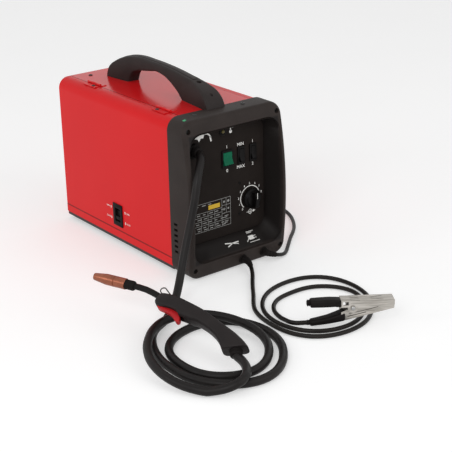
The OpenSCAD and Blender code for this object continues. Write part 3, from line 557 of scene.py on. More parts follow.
handle_black = moulded("handle_black", (0.0205, 0.0158, 0.0150), (0.0310, 0.0245, 0.0232), 0.46, 850,
                       0.0003, 0.15)
handle_middle, handle_soft = -0.008, 0.0042
outer_and_inner = [(171, 304, 100, 304), (169, 313, 95.5, 313), (161.5, 326.5, 91, 320), (147, 338, 83, 328),
                   (120, 351.5, 72, 331.7), (90, 359, 60, 335), (60, 362, 46, 337), (25, 361.5, 22, 341),
                   (0, 361, 5, 343.5), (-33, 359, -19.5, 340.3), (-60, 356.5, -36, 334.2),
                   (-90, 352.5, -45, 330), (-110, 350, -55, 324), (-130, 345, -64, 318),
                   (-150, 337.5, -70, 312.5), (-162, 328.5, -74, 308.8), (-171, 317, -77, 305.8),
                   (-176, 305.5, -78, 303.5)]
handle_run = eased_run(vectors(outer_and_inner), 4)
handle_plan = eased_run(vectors([(-179, 21), (-165, 21), (-148, 18), (-122, 13.5), (-95, 11.5), (60, 11.5),
                                 (100, 13.5), (132, 17), (155, 20), (178, 20)]), 6)


def half_width(y):
    for p, q in zip(handle_plan, handle_plan[1:]):
        if p.x <= y <= q.x:
            return p.y + (q.y - p.y) * (y - p.x) / (q.x - p.x)
    return 0.021 if y < 0 else 0.020


rings = []
for pair in handle_run:
    outer, inner = Vector(pair[:2]), Vector(pair[2:])
    thick = (outer - inner).length
    ring = []
    for sx, high, start in ((1, 1, 0), (-1, 1, 90), (-1, 0, 180), (1, 0, 270)):
        for k in range(6):
            a = math.radians(start + 18 * k)
            deep = (thick - handle_soft if high else handle_soft) + handle_soft * math.sin(a)
            spot = inner + (outer - inner) * (deep / thick)
            wide = sx * (half_width(spot.x) - handle_soft) + handle_soft * math.cos(a)
            ring.append(Vector((wide + handle_middle, spot.x, spot.y)))
    rings.append(ring)
handle = lofted("carry_grip", rings)
cut(handle, turned("well", [(0.005, 0.340), (0.005, 0.40)], Matrix.Translation((handle_middle, -0.122, 0)), 28))
cut(handle, turned("well", [(0.0025, 0.321), (0.0025, 0.40)], Matrix.Translation((handle_middle, -0.160, 0)), 20))
pick(handle)
bpy.ops.object.shade_smooth_by_angle(angle=math.radians(42))
settle(handle, "carry_handle", handle_black)
strip_rings = []
strip_ends = (-0.112, 0.128)
strip_section = [(-0.0056, -0.001), (-0.0056, 0.0003), (-0.0048, 0.0009), (0.0048, 0.0009), (0.0056, 0.0003),
                 (0.0056, -0.001)]
top_line = [Vector(pair[:2]) for pair in handle_run]
for k, p in enumerate(top_line):
    if not strip_ends[0] < p.x < strip_ends[1]:
        continue
    along = (top_line[k + 1] - top_line[k - 1]).normalized()
    out = Vector((along.y, -along.x))
    out = out if out.y > 0 else -out
    ring = []
    for x, lift in strip_section:
        q = p + out * lift
        ring.append(Vector((x + handle_middle, q.x, q.y)))
    strip_rings.append(ring)
settle(lofted("handle_strip", strip_rings), "carry_handle", handle_black, False)

# The front moulding: one deep black plastic frame with a bowed face and large round corners. Its wall turns
# in round the controls, and it is screwed to the tray through four wells at the corners.


def bow(z):
    """The bowed face: an arc of 750 mm radius in the side view."""
    return 0.518 - math.sqrt(0.5625 - (z - 0.130) ** 2)


def out_of_front(x, y, z):
    """A place in millimetres that looks straight out of the front."""
    return facing(Vector((x, y, z)) / 1000, (0, -1, 0))


def frame_ring(half, low, high, radius, depth):
    """A rounded rectangle seen from the front, in millimetres, with depth giving y from z."""
    loop = []
    for cx, cz, start in ((half - radius, high - radius, 0), (radius - half, high - radius, 90),
                          (radius - half, low + radius, 180), (half - radius, low + radius, 270)):
        for k in range(9):
            a = math.radians(start + 90 * k / 8)
            loop.append((cx + radius * math.cos(a), cz + radius * math.sin(a)))
        end = {0: (radius - half, high), 90: (-half, low + radius), 180: (half - radius, low),
               270: (half, high - radius)}[start]
        last = loop[-1]
        steps = 20 if start in (90, 270) else 8
        loop += [(last[0] + (end[0] - last[0]) * k / steps, last[1] + (end[1] - last[1]) * k / steps)
                 for k in range(1, steps)]
    return [Vector((x / 1000, depth(z / 1000), z / 1000)) for x, z in loop]


front_black = Finish("front_black", Specular_IOR_Level=0.15)
front_spot = front_black.where()
haze = front_black.noise(24, 4, 0.6, at=front_spot)
rim_tone = front_black.mix(front_black.ramp(haze, 0.35, 0.75), (0.0205, 0.0150, 0.0132), (0.0300, 0.0228, 0.0202))
front_height = front_black.part(front_spot, 2)
# The walls and ledge inside the recess are painted much darker than the rim: painted shade where the rim shades the
# recess.
recess_painted_shade = (front_black.ramp(abs(front_black.part(front_spot, 0)), 0.1056, 0.1028)
             * front_black.ramp(front_height, 0.0300, 0.0345) * front_black.ramp(front_height, 0.2826, 0.2790))
front_black.set(Base_Color=front_black.mix(recess_painted_shade, rim_tone, (0.0085, 0.0066, 0.0060)),
                Roughness=0.46 + 0.16 * haze,
                Normal=front_black.bump(front_black.noise(760, 2, 0.5, at=front_spot), 0.0003, 0.4))
rings = [frame_ring(115, 1, 308, 24, lambda z: -0.165)]
for k in range(7):
    t = math.radians(15 * k)
    inset = 7 * (1 - math.cos(t))
    rings.append(frame_ring(115 - inset, 1 + inset, 308 - inset, 24 - inset,
                            lambda z, t=t: bow(z) + 0.007 * (1 - math.sin(t))))
for k in range(5):
    t = math.radians(22.5 * k)
    grow = 2.5 * (1 - math.sin(t))
    rings.append(frame_ring(105.5 + grow, 31 - grow, 281 + grow, 28 + grow,
                            lambda z, t=t: bow(z) + 0.0025 * (1 - math.cos(t))))
rings.append(frame_ring(103.5, 31.6, 280.8, 27, lambda z: min(bow(z) + 0.008, -0.2185)))
rings.append(frame_ring(95.4, 49, 276.4, 23, lambda z: -0.1980))
rings.append(frame_ring(91.6, 56.4, 275.2, 20, lambda z: -0.1895))
rings.append(frame_ring(91.0, 57.0, 275.0, 20, lambda z: -0.1870))
rings.append(frame_ring(84, 64, 264, 8, lambda z: -0.1870))
rings.append(frame_ring(84, 64, 264, 8, lambda z: -0.1840))
rings.append(frame_ring(94, 54, 278, 20, lambda z: -0.1840))
rings.append(frame_ring(106.5, 28, 284, 27, lambda z: min(bow(z) + 0.010, -0.2165)))
rings.append(frame_ring(108.6, 7.4, 301.6, 17.6, lambda z: bow(z) + 0.0045))
rings.append(frame_ring(111, 5, 304, 20, lambda z: bow(z) + 0.009))
rings.append(frame_ring(111, 5, 304, 20, lambda z: -0.165))
rings.append(rings[0])
moulding = lofted("front_moulding", rings, open_ends=True)
for x, seat, z in front_corners:
    post = turned("post", [(0.007, 0), (0.007, 0.0465 if z > 100 else 0.056)], out_of_front(x, -165.5, z), 28)
    cut(moulding, post, "UNION")
    cut(moulding, turned("well", [(0.0046, 0), (0.0049, 0.006), (0.0056, 0.03)], out_of_front(x, seat, z), 28))
cord_exits = [(10, 15), (61, 17)]
for x, z in cord_exits:
    cut(moulding, turned("gland_hole", [(0.0094, 0), (0.0094, 0.05)], out_of_front(x, -195, z), 32))
vent_pitch = 0.011
for side in (-1, 1):
    wall = side * 0.115
    slots = [box_at("vent", (wall - 0.006, -0.187, 0.048 + vent_pitch * k),
                    (wall + 0.006, -0.176, 0.053 + vent_pitch * k)) for k in range(6)]
    cut(moulding, joined("vents", slots))
pick(moulding)
bpy.ops.object.shade_smooth_by_angle(angle=math.radians(32))
settle(moulding, "front_bezel", front_black.material)
sticker_place = Matrix.Translation((-0.091, -0.196, 0.284)) @ Matrix.Rotation(math.radians(-16), 4, "Y")
green_dot = box_at("check_sticker", (-0.0028, -0.003, 0.0239), (0.0028, 0.003, 0.0242))
round_edges(green_dot, lambda a, b: abs(a.z - b.z) > 1e-6, 0.001, 3)
for vertex in green_dot.data.vertices:
    vertex.co = sticker_place @ vertex.co
sticker_green = Finish("sticker_green", Specular_IOR_Level=0.4)
settle(green_dot, "front_bezel", sticker_green.set(
    Base_Color=sticker_green.mix(sticker_green.noise(300), (0.02, 0.30, 0.12), (0.04, 0.38, 0.17)),
    Roughness=0.4 + 0.1 * sticker_green.noise(90)), False)

# The control panel: a flat moulded plate set back in the front and held by two round black rivets. The switch
# positions, the dial scale and small pictograms are screen printed on it in white, and a rating grid in grey.
panel_black = moulded("panel_black", (0.0118, 0.0088, 0.0076), (0.0170, 0.0132, 0.0116), 0.56, 1200,
                      0.00035, 0.06)
panel = lofted("panel_plate", [frame_ring(90.6, 57.4, 274.6, 19.5, lambda z, y=y: y) for y in (-0.187, -0.1897)]
               + [frame_ring(90.3, 57.7, 274.3, 19.2, lambda z: -0.19)])
switch_lip, switch_low, switch_high = 1.4, 0.1954, 0.2266
for x, wide in ((2, 26), (35, 16), (63.5, 16)):
    half = wide / 2 - switch_lip
    cut(panel, box_at("switch_hole", ((x - half) / 1000, -0.2, switch_low),
                      ((x + half) / 1000, -0.18, switch_high)))
for x, z, radius in ((57, 120, 4.6), (-7, 266, 4.6), (-76, 243, 10.6)):
    cut(panel, turned("hole", [(radius / 1000, 0), (radius / 1000, 0.02)], out_of_front(x, -180, z), 28))
pick(panel)
bpy.ops.object.shade_smooth_by_angle(angle=math.radians(30))
settle(panel, "control_panel", panel_black)
panel_y = -0.19
face = Matrix(((1, 0, 0, 0), (0, 0, -1, panel_y), (0, 1, 0, 0), (0, 0, 0, 1)))
marks = [lettered(word, size, (x, z), face) for word, size, x, z in (
    ("1", 9, 2, 234), ("0", 9, 2, 187), ("MIN", 9.0, 34.5, 232.6), ("MAX", 9.0, 34.5, 188.2),
    ("1", 8.4, 63.5, 232.8), ("2", 8.4, 63.5, 188))]
dial_x, dial_z, dial_start, number_reach = 56, 121, 228, 28.2
for k in range(9):
    a = math.radians(dial_start - 27.25 * k)
    number_spot = (dial_x + number_reach * math.cos(a), dial_z + number_reach * math.sin(a))
    marks.append(lettered(str(k), 6.2, number_spot, face))
marks += printed(arc_band(dial_x, dial_z, 23.2, 1.7, 10, dial_start, 44), face)
spool_sign = arc_band(dial_x, 91.5, 4.4, 1.0, 0, 360, 24) + [
    bar(dial_x, 85.5, dial_x, 97.5, 1.0), bar(47.5, 91.5, 63, 91.5, 1.1), [(63, 94.3), (63, 88.7), (68.5, 91.5)]]
torch_body = [(-82, 262.5), (-79, 268), (-70, 271), (-58, 272), (-50, 269.5), (-52, 262.5), (-58, 263), (-62, 257),
              (-66, 263.5), (-74, 264.5), (-79, 262)]
torch_sign = [torch_body[::-1]] + arc_band(-48, 256.5, 13.5, 2.6, 96, 18, 10) + [bar(-36.5, 262.6, -34.2, 253, 3.2)]
heat_sign = [disc(11.5, 262.5, 3.3), bar(11.5, 264, 11.5, 274, 2.0), bar(15, 272.8, 17.4, 272.8, 0.8),
             bar(15, 269.6, 17.4, 269.6, 0.8)]
marks += printed(spool_sign + torch_sign + heat_sign, face)
ink_piece("panel_marks", marks, white_ink, "control_panel")
grey_ink = print_ink("grey_ink", (0.30, 0.30, 0.29))
left, split, right, low, high = -77, -12.6, 8, 78.5, 134.5
rules = [(left, high, right, high), (left, low, right, low), (right, low, right, high), (split, low, split, high),
         (left, low, left, high), (left, 116.5, split, 116.5), (left, 108, split, 108), (left, 99.5, split, 99.5),
         (left, 91, split, 91), (-62, low, -62, 108), (-46, low, -46, 116.5), (-30, low, -30, 116.5),
         (split, 120, right, 120), (split, 104, right, 104), (split, 91, right, 91), (-2.3, 104, -2.3, high)]
grid = [bar(*rule, 0.7) for rule in rules]
for row, z in enumerate((130.5, 112.4, 103.8, 95.2, 86.6, 82)):
    for column in range(5 if row else 3):
        x = -74 + 14.5 * column + 1.7 * (row % 3)
        grid.append(bar(x, z, x + 6 + (2 * row + 3 * column) % 5, z, 1.5))
for x, z, r in ((-7.4, 127, 2.2), (2.8, 127, 2.6), (-7.4, 112, 2.4), (2.8, 112, 2.0)):
    grid.append(disc(x, z, r, 12))
for z, wide in ((98, 9), (95, 6), (87, 9), (84, 7)):
    grid.append(bar(-6.5, z, -6.5 + wide, z, 1.4))
ink_piece("rating_grid", printed(grid, face), grey_ink, "control_panel")
ink_piece("rating_patch", printed([[(-44.6, 119.4), (-17.4, 119.4), (-17.4, 128), (-44.6, 128)]], face, 0.0002),
          print_ink("yellow_ink", (0.62, 0.40, 0.028)), "control_panel")
switch_black = moulded("switch_black", (0.0030, 0.0026, 0.0026), (0.0056, 0.0050, 0.0048), 0.34, 1500,
                       0.0002, 0.10)
rivet_profile = [(0.0030, 0), (0.0030, 0.0006), (0.0022, 0.0011), (0.0012, 0.0011), (0.0009, 0.0004), (0, 0.0004)]
rivets = [turned("panel_pip", rivet_profile, out_of_front(x, -190, z), 20) for x, z in ((31.5, 156), (30, 93.6))]
settle(joined("panel_rivets", rivets), "control_panel", switch_black, False)
ledge = Matrix(((1, 0, 0, 0), (0, 0.762, -0.647, -0.2083), (0, 0.647, 0.762, 0.0403), (0, 0, 0, 1)))
clamp_sign = [bar(-16, 9, 0, 5.4, 2.4), bar(-13, 0.5, 0, 5.4, 2.0), bar(-1, 5.6, 15, 5.6, 2.4),
              bar(-1, 5.2, 13, 1.2, 1.6)]
plug_sign = [[(40, 1), (52, 1), (52, 10), (40, 10)], bar(52, 3.2, 58, 3.2, 1.3), bar(52, 7.8, 58, 7.8, 1.3),
             bar(33, -1.5, 40, 5, 1.4), bar(38, -4, 62, -4, 1.2), bar(41, 19, 58, 19, 1.2),
             bar(41, 16.4, 53, 16.4, 1.2)]
ledge_lift = 0.0003
ink_piece("ledge_marks", printed(clamp_sign + plug_sign, ledge, ledge_lift), white_ink, "front_bezel")

# The three rocker switches: glossy black snap-in frames, a green lit rocker for the mains and two narrow black
# ones for the current steps.
softened("switch_frames", "switch_surrounds", 0.0008, switch_black, 3)
softened("range_rocker", "range_key", 0.0007, switch_black, 3)
softened("step_rocker", "step_key", 0.0007, switch_black, 3)
lit_green = Finish("lit_green", Specular_IOR_Level=0.08, Emission_Strength=0.06)
glow = lit_green.noise(60, 3)
softened("power_rocker", "mains_key", 0.0008, lit_green.set(
    Base_Color=lit_green.mix(glow, (0.002, 0.068, 0.032), (0.005, 0.125, 0.062)), Roughness=0.22 + 0.1 * glow,
    Emission_Color=lit_green.mix(glow, (0.0, 0.10, 0.05), (0.01, 0.30, 0.15)),
    Normal=lit_green.bump(lit_green.noise(500), 0.0003, 0.2)), 3)

# The thermal lamp: a small moulded amber lens that glows when the machine is too hot. It sits in a black
# plastic ring, and both are pushed into the panel from the front.
lamp_place = out_of_front(-7, -190, 266)
lens_amber = Finish("lens_amber", Specular_IOR_Level=0.3, Coat_Roughness=0.1)
speckle = lens_amber.noise(900, 3)
lens_amber.set(Base_Color=lens_amber.mix(speckle, (0.070, 0.054, 0.012), (0.150, 0.122, 0.036)),
               Roughness=0.2 + 0.2 * speckle, Coat_Weight=0.06 + 0.1 * speckle)
lens_profile = [(0.0036, -0.004), (0.0036, 0.0012), (0.0034, 0.0022), (0.0026, 0.0032), (0.0014, 0.0038),
                (0, 0.004)]
ring_profile = [(0.0037, 0), (0.0080, 0), (0.0080, 0.0008), (0.0074, 0.0017), (0.0050, 0.0021), (0.0037, 0.0012)]
settle(turned("lamp_lens", lens_profile, lamp_place), "thermal_lamp", lens_amber.material)
settle(turned("lamp_ring", ring_profile, lamp_place), "thermal_lamp", switch_black, False)

# The wire speed knob: a moulded black skirt with a waisted grip bar and a white pointer line, pushed on the
# spindle of the control board behind the panel.
knob_place, knob_top = facing((0.057, -0.194, 0.120), (0, -1, 0)), 0.0180
skirt_profile = [(0.0034, 0), (0.0196, 0), (0.0200, 0.0004), (0.0200, 0.0022), (0.0194, 0.0034), (0.0176, 0.0046),
                 (0.0162, 0.0058), (0.0154, 0.0088), (0.0148, 0.0094), (0.0034, 0.0094)]
skirt = turned("knob_skirt", skirt_profile, knob_place, 64)
grip = []
for side in (1, -1):
    for k in range(13):
        reach = -1 + 2 * k / 12
        grip.append((side * (0.0034 + 0.0030 * reach * reach), 0.0152 * reach * side))
grip_levels = [(1, 1, 0.0088), (1, 1, 0.0165), (0.93, 0.985, 0.0176), (0.80, 0.955, knob_top)]
knob_grip = lofted("knob_grip", [[Vector((thin * x, short * y, height)) for x, y in grip]
                                 for thin, short, height in grip_levels], knob_place)
settle(joined("speed_knob_moulding", [skirt, knob_grip]), "speed_knob", switch_black)
pointer = printed([bar(0, 3, 0, 14.3, 1.2)], knob_place @ Matrix.Translation((0, 0, knob_top)))
ink_piece("knob_pointer", pointer, white_ink, "speed_knob")
board_green = Finish("board_green", Specular_IOR_Level=0.5)
traces = board_green.node("ShaderNodeTexBrick", {}, {
    "Vector": board_green.where(), "Scale": 160.0, "Mortar Size": 0.04}, out="Fac")
dress("control_board", board_green.set(
    Base_Color=board_green.mix(traces, (0.012, 0.085, 0.030), (0.030, 0.160, 0.060)),
    Roughness=0.35 + 0.1 * traces))

# The torch gland and the two cord glands: soft rubber, with a ribbed sleeve that tapers along the torch cable so
# that it can't kink where it leaves the front, and a plain collar for each thin lead.
gland_rubber = moulded("gland_rubber", (0.0080, 0.0066, 0.0062), (0.0120, 0.0100, 0.0092), 0.55, 900,
                       0.0005, 0.08)


def sleeve(name, at, way, base, tip, start, length, ribs, bore):
    profile = [(bore, start), (base, start)]
    for k in range(ribs):
        for f, drop in ((0.0, 0), (0.55, 0), (0.62, 0.0009), (0.93, 0.0009)):
            t = (k + f) / ribs
            profile.append((base + (tip - base) * t - drop, start + length * t))
    profile += [(tip, start + length), (tip - 0.0008, start + length + 0.0006), (bore, start + length + 0.0006)]
    return turned(name, profile, facing(at, way), 36)


torch_root = Vector((-76, -190, 243)) / 1000
nut = [ring_of(0.0150, h, 6) for h in (0, 0.0058)] + [ring_of(0.0138, 0.0066, 6)]
gland_nut = lofted("gland_nut", nut, facing(torch_root, (0, -1, 0), 0.2))
round_edges(gland_nut, lambda a, b: 0.004 < (a - b).length < 0.007, 0.0008, 2)
gland_sleeve = sleeve("gland_sleeve", torch_root, (0, -1, 0), 0.0120, 0.0095, 0.006, 0.012, 3, 0.0070)
settle(joined("torch_gland_moulding", [gland_nut, gland_sleeve]), "torch_gland", gland_rubber)
cord_sleeves = []
for (x, z), bore in zip(cord_exits, (0.0041, 0.00385)):
    collar = [(bore, -0.012), (0.006, -0.012), (0.006, 0), (0.009, 0), (0.009, 0.0055), (0.0082, 0.0066),
              (bore, 0.0066)]
    cord_sleeves.append(turned("cord_collar", collar, out_of_front(x, -219.5, z), 36))
settle(joined("cord_gland_collars", cord_sleeves), "cord_glands", gland_rubber)

# The divider and the power part behind it: a zinc plated wall, a laminated transformer with varnished windings,
# a finned aluminium sink for the rectifier, and the fan on the rear panel.


def bare_metal(name, colour, darker, rough, stretch, scale, depth=0.0002):
    made = Finish(name, Metallic=1.0)
    streak, bloom = made.noise(scale, 3, at=made.where(stretch)), made.noise(30, 4)
    return made.set(Base_Color=made.mix(made.ramp(bloom, 0.35, 0.75), colour, darker),
                    Roughness=rough + 0.12 * bloom + 0.1 * streak, Normal=made.bump(streak, depth, 0.3))


zinc_sheet = bare_metal("zinc_sheet", (0.55, 0.56, 0.57), (0.42, 0.43, 0.45), 0.34, (1, 1, 1), 26)
core_steel = bare_metal("core_laminations", (0.26, 0.26, 0.27), (0.14, 0.13, 0.125), 0.42, (0.02, 1, 0.02), 1400,
                        0.0006)
sink_alu = bare_metal("sink_aluminium", (0.62, 0.63, 0.65), (0.50, 0.51, 0.53), 0.34, (1, 0.02, 1), 700)
roll_steel = bare_metal("roll_steel", (0.52, 0.53, 0.54), (0.40, 0.41, 0.42), 0.24, (0.05, 1, 1), 500)
plate_alu = bare_metal("feeder_plate", (0.58, 0.59, 0.60), (0.46, 0.47, 0.48), 0.36, (1, 1, 0.05), 500)
brass = bare_metal("spigot_brass", (0.62, 0.43, 0.15), (0.46, 0.31, 0.10), 0.26, (1, 1, 0.05), 500)
dress("divider_wall", zinc_sheet)
softened("transformer_core", "core_stack", 0.0008, core_steel, 2)
winding = Finish("varnished_winding", Specular_IOR_Level=0.5)
turns = winding.node("ShaderNodeTexWave", {"bands_direction": "Z"}, {
    "Vector": winding.where(), "Scale": 110.0, "Distortion": 0.4, "Detail": 1.0})
tape = winding.noise(40, 3)
softened("transformer_coils", "core_windings", 0.005, winding.set(
    Base_Color=winding.mix(turns, (0.16, 0.055, 0.018), (0.46, 0.20, 0.075)), Roughness=0.32 + 0.2 * tape,
    Normal=winding.bump(turns, 0.0012, 0.7)), 4)
softened("rectifier_sink", "finned_sink", 0.0005, sink_alu, 2)
fan_black = moulded("fan_black", (0.014, 0.0135, 0.0135), (0.022, 0.021, 0.020), 0.42, 1000, 0.0004, 0.35)
softened("fan_frame", "fan_surround", 0.0012, fan_black, 2)
softened("fan_rotor", "fan_blades", 0.0006, fan_black, 2)

# The wire feeder on the door side: a geared motor through the divider, an aluminium plate with inlet and outlet
# guides, a grooved drive roll, and a sprung arm with the pressure roll and a red tension knob.
motor_paint = satin_paint("motor_paint", (0.045, 0.048, 0.052), (0.065, 0.068, 0.072), 0.40)
softened("feed_motor", "gear_motor", 0.0015, motor_paint, 3)
softened("feed_plate", "feeder_body", 0.0008, plate_alu, 2)
softened("pressure_arm", "arm_casting", 0.0009, switch_black, 2)


def grooved_roll(name, node, at, radius, bore, grooves):
    half, edge, groove = 0.005, 0.0008, 0.0009
    profile = [(bore, -half), (radius - edge, -half), (radius, edge - half)]
    for g in grooves:
        profile += [(radius, g - groove), (radius - 0.0010, g), (radius, g + groove)]
    profile += [(radius, half - edge), (radius - edge, half), (bore, half)]
    settle(turned(name, profile + profile[:1], facing(at, (1, 0, 0)), 56), node, roll_steel)


grooved_roll("drive_wheel", "drive_roll", Vector((-76, -110, 227.4)) / 1000, 0.0152, 0.00406, (-0.0022, 0.0022))
grooved_roll("pressure_wheel", "pressure_roll", Vector((-76, -110, 253.8)) / 1000, 0.0100, 0.00306, ())
knurl, knurl_points = [], 72
for k in range(knurl_points):
    radius, a = 0.0070 if k % 3 else 0.0064, 2 * math.pi * k / knurl_points
    knurl.append((radius * math.cos(a), radius * math.sin(a)))
cap_levels = [(0.92, 0.0), (1.0, 0.0008), (1.0, 0.0108), (0.92, 0.0118), (0.80, 0.012)]
tension = lofted("tension_cap", [[Vector((share * x, share * y, height)) for x, y in knurl]
                                 for share, height in cap_levels],
                 Matrix.Translation(Vector((-65.5, -84, 268.4)) / 1000))
settle(tension, "tension_knob", enamel("tension_red", 5, 0.45, 0.28))

# The spool bay: a hub with a brake cap fixed to the divider, a plastic spool with holes in its flanges, and
# copper plated welding wire wound on it in even layers. The gas spigot is turned brass.
spool_black = moulded("spool_black", (0.018, 0.018, 0.019), (0.028, 0.028, 0.029), 0.40, 900, 0.0004, 0.38)
softened("spool_hub", "hub_cap", 0.0012, spool_black, 3)
softened("wire_spool", "spool_flanges", 0.0009, spool_black, 2)
wire_copper = Finish("wound_copper_wire", Metallic=1.0)
layers = wire_copper.node("ShaderNodeTexWave", {"bands_direction": "X"}, {
    "Vector": wire_copper.where(), "Scale": 160.0, "Distortion": 0.25, "Detail": 1.0})
tarnish = wire_copper.noise(60, 3)
dress("spool_wire", wire_copper.set(
    Base_Color=wire_copper.mix(tarnish, (0.62, 0.30, 0.17), (0.48, 0.22, 0.12)),
    Roughness=0.30 + 0.15 * tarnish, Normal=wire_copper.bump(layers, 0.0009, 0.8)))
spigot = [(0, -0.0155), (0.006, -0.0155), (0.006, 0), (0.0090, 0), (0.0090, 0.0052), (0.0082, 0.006),
          (0.0040, 0.006), (0.0040, 0.0275), (0.0036, 0.028), (0.0024, 0.028), (0.0022, 0.0274), (0.0022, 0.012),
          (0, 0.012)]
settle(turned("gas_spigot", spigot, facing(Vector((-70, 222, 60)) / 1000, (0, 1, 0)), 36), "gas_inlet", brass)

# The torch cable: a thick soft rubber hose that carries wire, gas and current. It leaves the gland behind
# the front rim, drops to the floor, lies there in loose loops and runs into the tail of the torch.


def apart(points):
    """The points of a run without those that lie on top of each other."""
    return [p for i, p in enumerate(points) if i == 0 or (p - points[i - 1]).length > 0.0005]


def cable(name, points, diameter, finish):
    data = bpy.data.curves.new(name, "CURVE")
    data.dimensions = "3D"
    spline = data.splines.new("NURBS")
    spline.points.add(len(points) - 1)
    for knot, p in zip(spline.points, points):
        knot.co = (*p, 1)
    spline.order_u, spline.use_endpoint_u = 3, True
    data.resolution_u, data.use_fill_caps = 3, True
    data.bevel_depth, data.bevel_resolution = diameter / 2, 5
    made = bpy.data.objects.new(name, data)
    bpy.context.scene.collection.objects.link(made)
    data.materials.append(finish)
    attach(made, "machine")
    return made


def run_length(points):
    return sum((b - a).length for a, b in zip(points, points[1:]))


def rubber_sheath(name, colour, scuff, grain):
    made = Finish(name, Specular_IOR_Level=0.18)
    where = made.where()
    dust, fine = made.noise(38, 4, at=where), made.noise(grain, 3, at=where)
    colour_mix = made.mix(made.ramp(dust, 0.38, 0.72), colour, scuff)
    return made.set(Base_Color=colour_mix, Roughness=0.34 + 0.22 * made.ramp(dust, 0.3, 0.7),
                    Normal=made.bump(fine + 0.6 * dust, 0.0002, 0.35))


torch_black = rubber_sheath("torch_cable_rubber", (0.0056, 0.0044, 0.0044), (0.0110, 0.0088, 0.0080), 900)
torch_route = vectors([(-76, -202, 243), (-77, -211, 242), (-82, -221, 236), (-91, -229, 225),
                       (-100, -235.5, 211), (-107, -240, 195), (-115, -244, 171), (-124, -246.5, 145),
                       (-135, -250, 117), (-148, -255.5, 89), (-161, -263, 63), (-177, -275, 39),
                       (-198, -292, 20), (-224, -313, 10), (-250, -333, 8)])
coil_x, coil_y = -250, -480
torch_radii = [147, 106, 92, 105, 122, 110, 111, 114, 95, 81, 73, 83, 91, 86, 90, 97, 121, 114, 121, 134]
torch_heights = [8] + [7.6] * 12 + [8, 13, 23.5, 25.5, 26, 17, 8]
torch_tail = [(-322, -592, 12), (-302, -602, 19.5), (-283, -597, 23.4), (-267, -579, 23.6), (-257, -557, 23.2)]
torch_place = (Matrix.Translation(Vector((-238, -530, 31)) / 1000) @ Matrix.Rotation(math.radians(12), 4, "Z")
               @ Matrix.Rotation(math.radians(10), 4, "X") @ Matrix.Rotation(math.radians(60), 4, "Y"))
torch_end = torch_place @ Vector((0, 0.0035, -0.010))
torch_way = (torch_place.to_3x3() @ Vector((0, 0.625, 0.781))).normalized()
torch_loops = []
for k, (reach, height) in enumerate(zip(eased_run(torch_radii, 3), eased_run(torch_heights, 3))):
    angle = math.radians(90 + 15 * k)
    torch_loops.append(Vector((coil_x + reach * math.cos(angle), coil_y + reach * math.sin(angle), height)) / 1000)
torch_line = apart(eased_run(torch_route, 2) + torch_loops + eased_run(
    [torch_loops[-1]] + vectors(torch_tail) + [torch_end - 0.008 * torch_way, torch_end], 3))
torch_cable = cable("torch_cable", torch_line, 0.015, torch_black)
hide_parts("torch_lead", "torch_coil")

# The torch handle: two moulded half shells screwed together along the middle, swept like a banana, with an arch
# for the finger, a slanted tail with a short collar on the cable and a slot under the nose for the red trigger.
torch_grip = moulded("torch_grip", (0.0125, 0.0098, 0.0098), (0.0190, 0.0152, 0.0150), 0.42, 950, 0.0003, 0.15)
grip_back = [(-14, 4), (-2, 8.5), (10, 11.5), (23, 14), (36, 15.5), (51, 17), (73, 19.5), (98, 21.5), (124, 21),
             (149, 19.5), (164, 17), (176, 14), (183, 11)]
grip_belly = [(21, -24), (26, -20.5), (31, -17), (37, -13.5), (47, -9), (59, -5.5), (79, -3.5), (93, -3.5),
              (101, -5.5), (111, -7), (121, -8.5), (131, -10), (143, -8), (160, -10.5), (176, -12), (183, -9)]
grip_wide = [(3, 14.4), (12, 15), (28, 14.9), (50, 14.2), (75, 14.2), (100, 14.8), (130, 15), (160, 14.6),
             (176, 12.9), (183, 11)]
grip_tail = [(-14, 4, 21, -24), (-2, 8.5, 26, -20.5), (10, 11.5, 31, -17), (23, 14, 37, -13.5),
             (36, 15.5, 45, -9.8), (51, 17, 54, -7)]
finger_arch = vectors([(173, -15), (166, -10.2), (154, -6.9), (144, -4.9), (135, -5), (128.5, -8), (124, -12.5),
                       (123, -30), (173, -30)])


def level(table, at):
    """The height of an eased outline at a distance along the torch."""
    points = eased_run([Vector(p) for p in table], 6)
    for a, b in zip(points, points[1:]):
        if a.x <= at <= b.x:
            return a.y + (b.y - a.y) * (at - a.x) / (b.x - a.x)
    return points[0].y if at < points[0].x else points[-1].y


grip_pairs = eased_run([Vector(p) for p in grip_tail] + [
    Vector((y, level(grip_back, y), y, level(grip_belly, y)))
    for y in (66, 79, 93, 101, 111, 121, 131, 143, 151, 160, 168, 176, 183)], 4)
end_shrink, edge_shrink = 0.88, 0.965
grip_sections = ([(grip_pairs[0], end_shrink), (grip_pairs[0].lerp(grip_pairs[1], 0.3), edge_shrink)]
                 + [(p, 1.0) for p in grip_pairs[1:-1]]
                 + [(grip_pairs[-2].lerp(grip_pairs[-1], 0.7), edge_shrink), (grip_pairs[-1], end_shrink)])


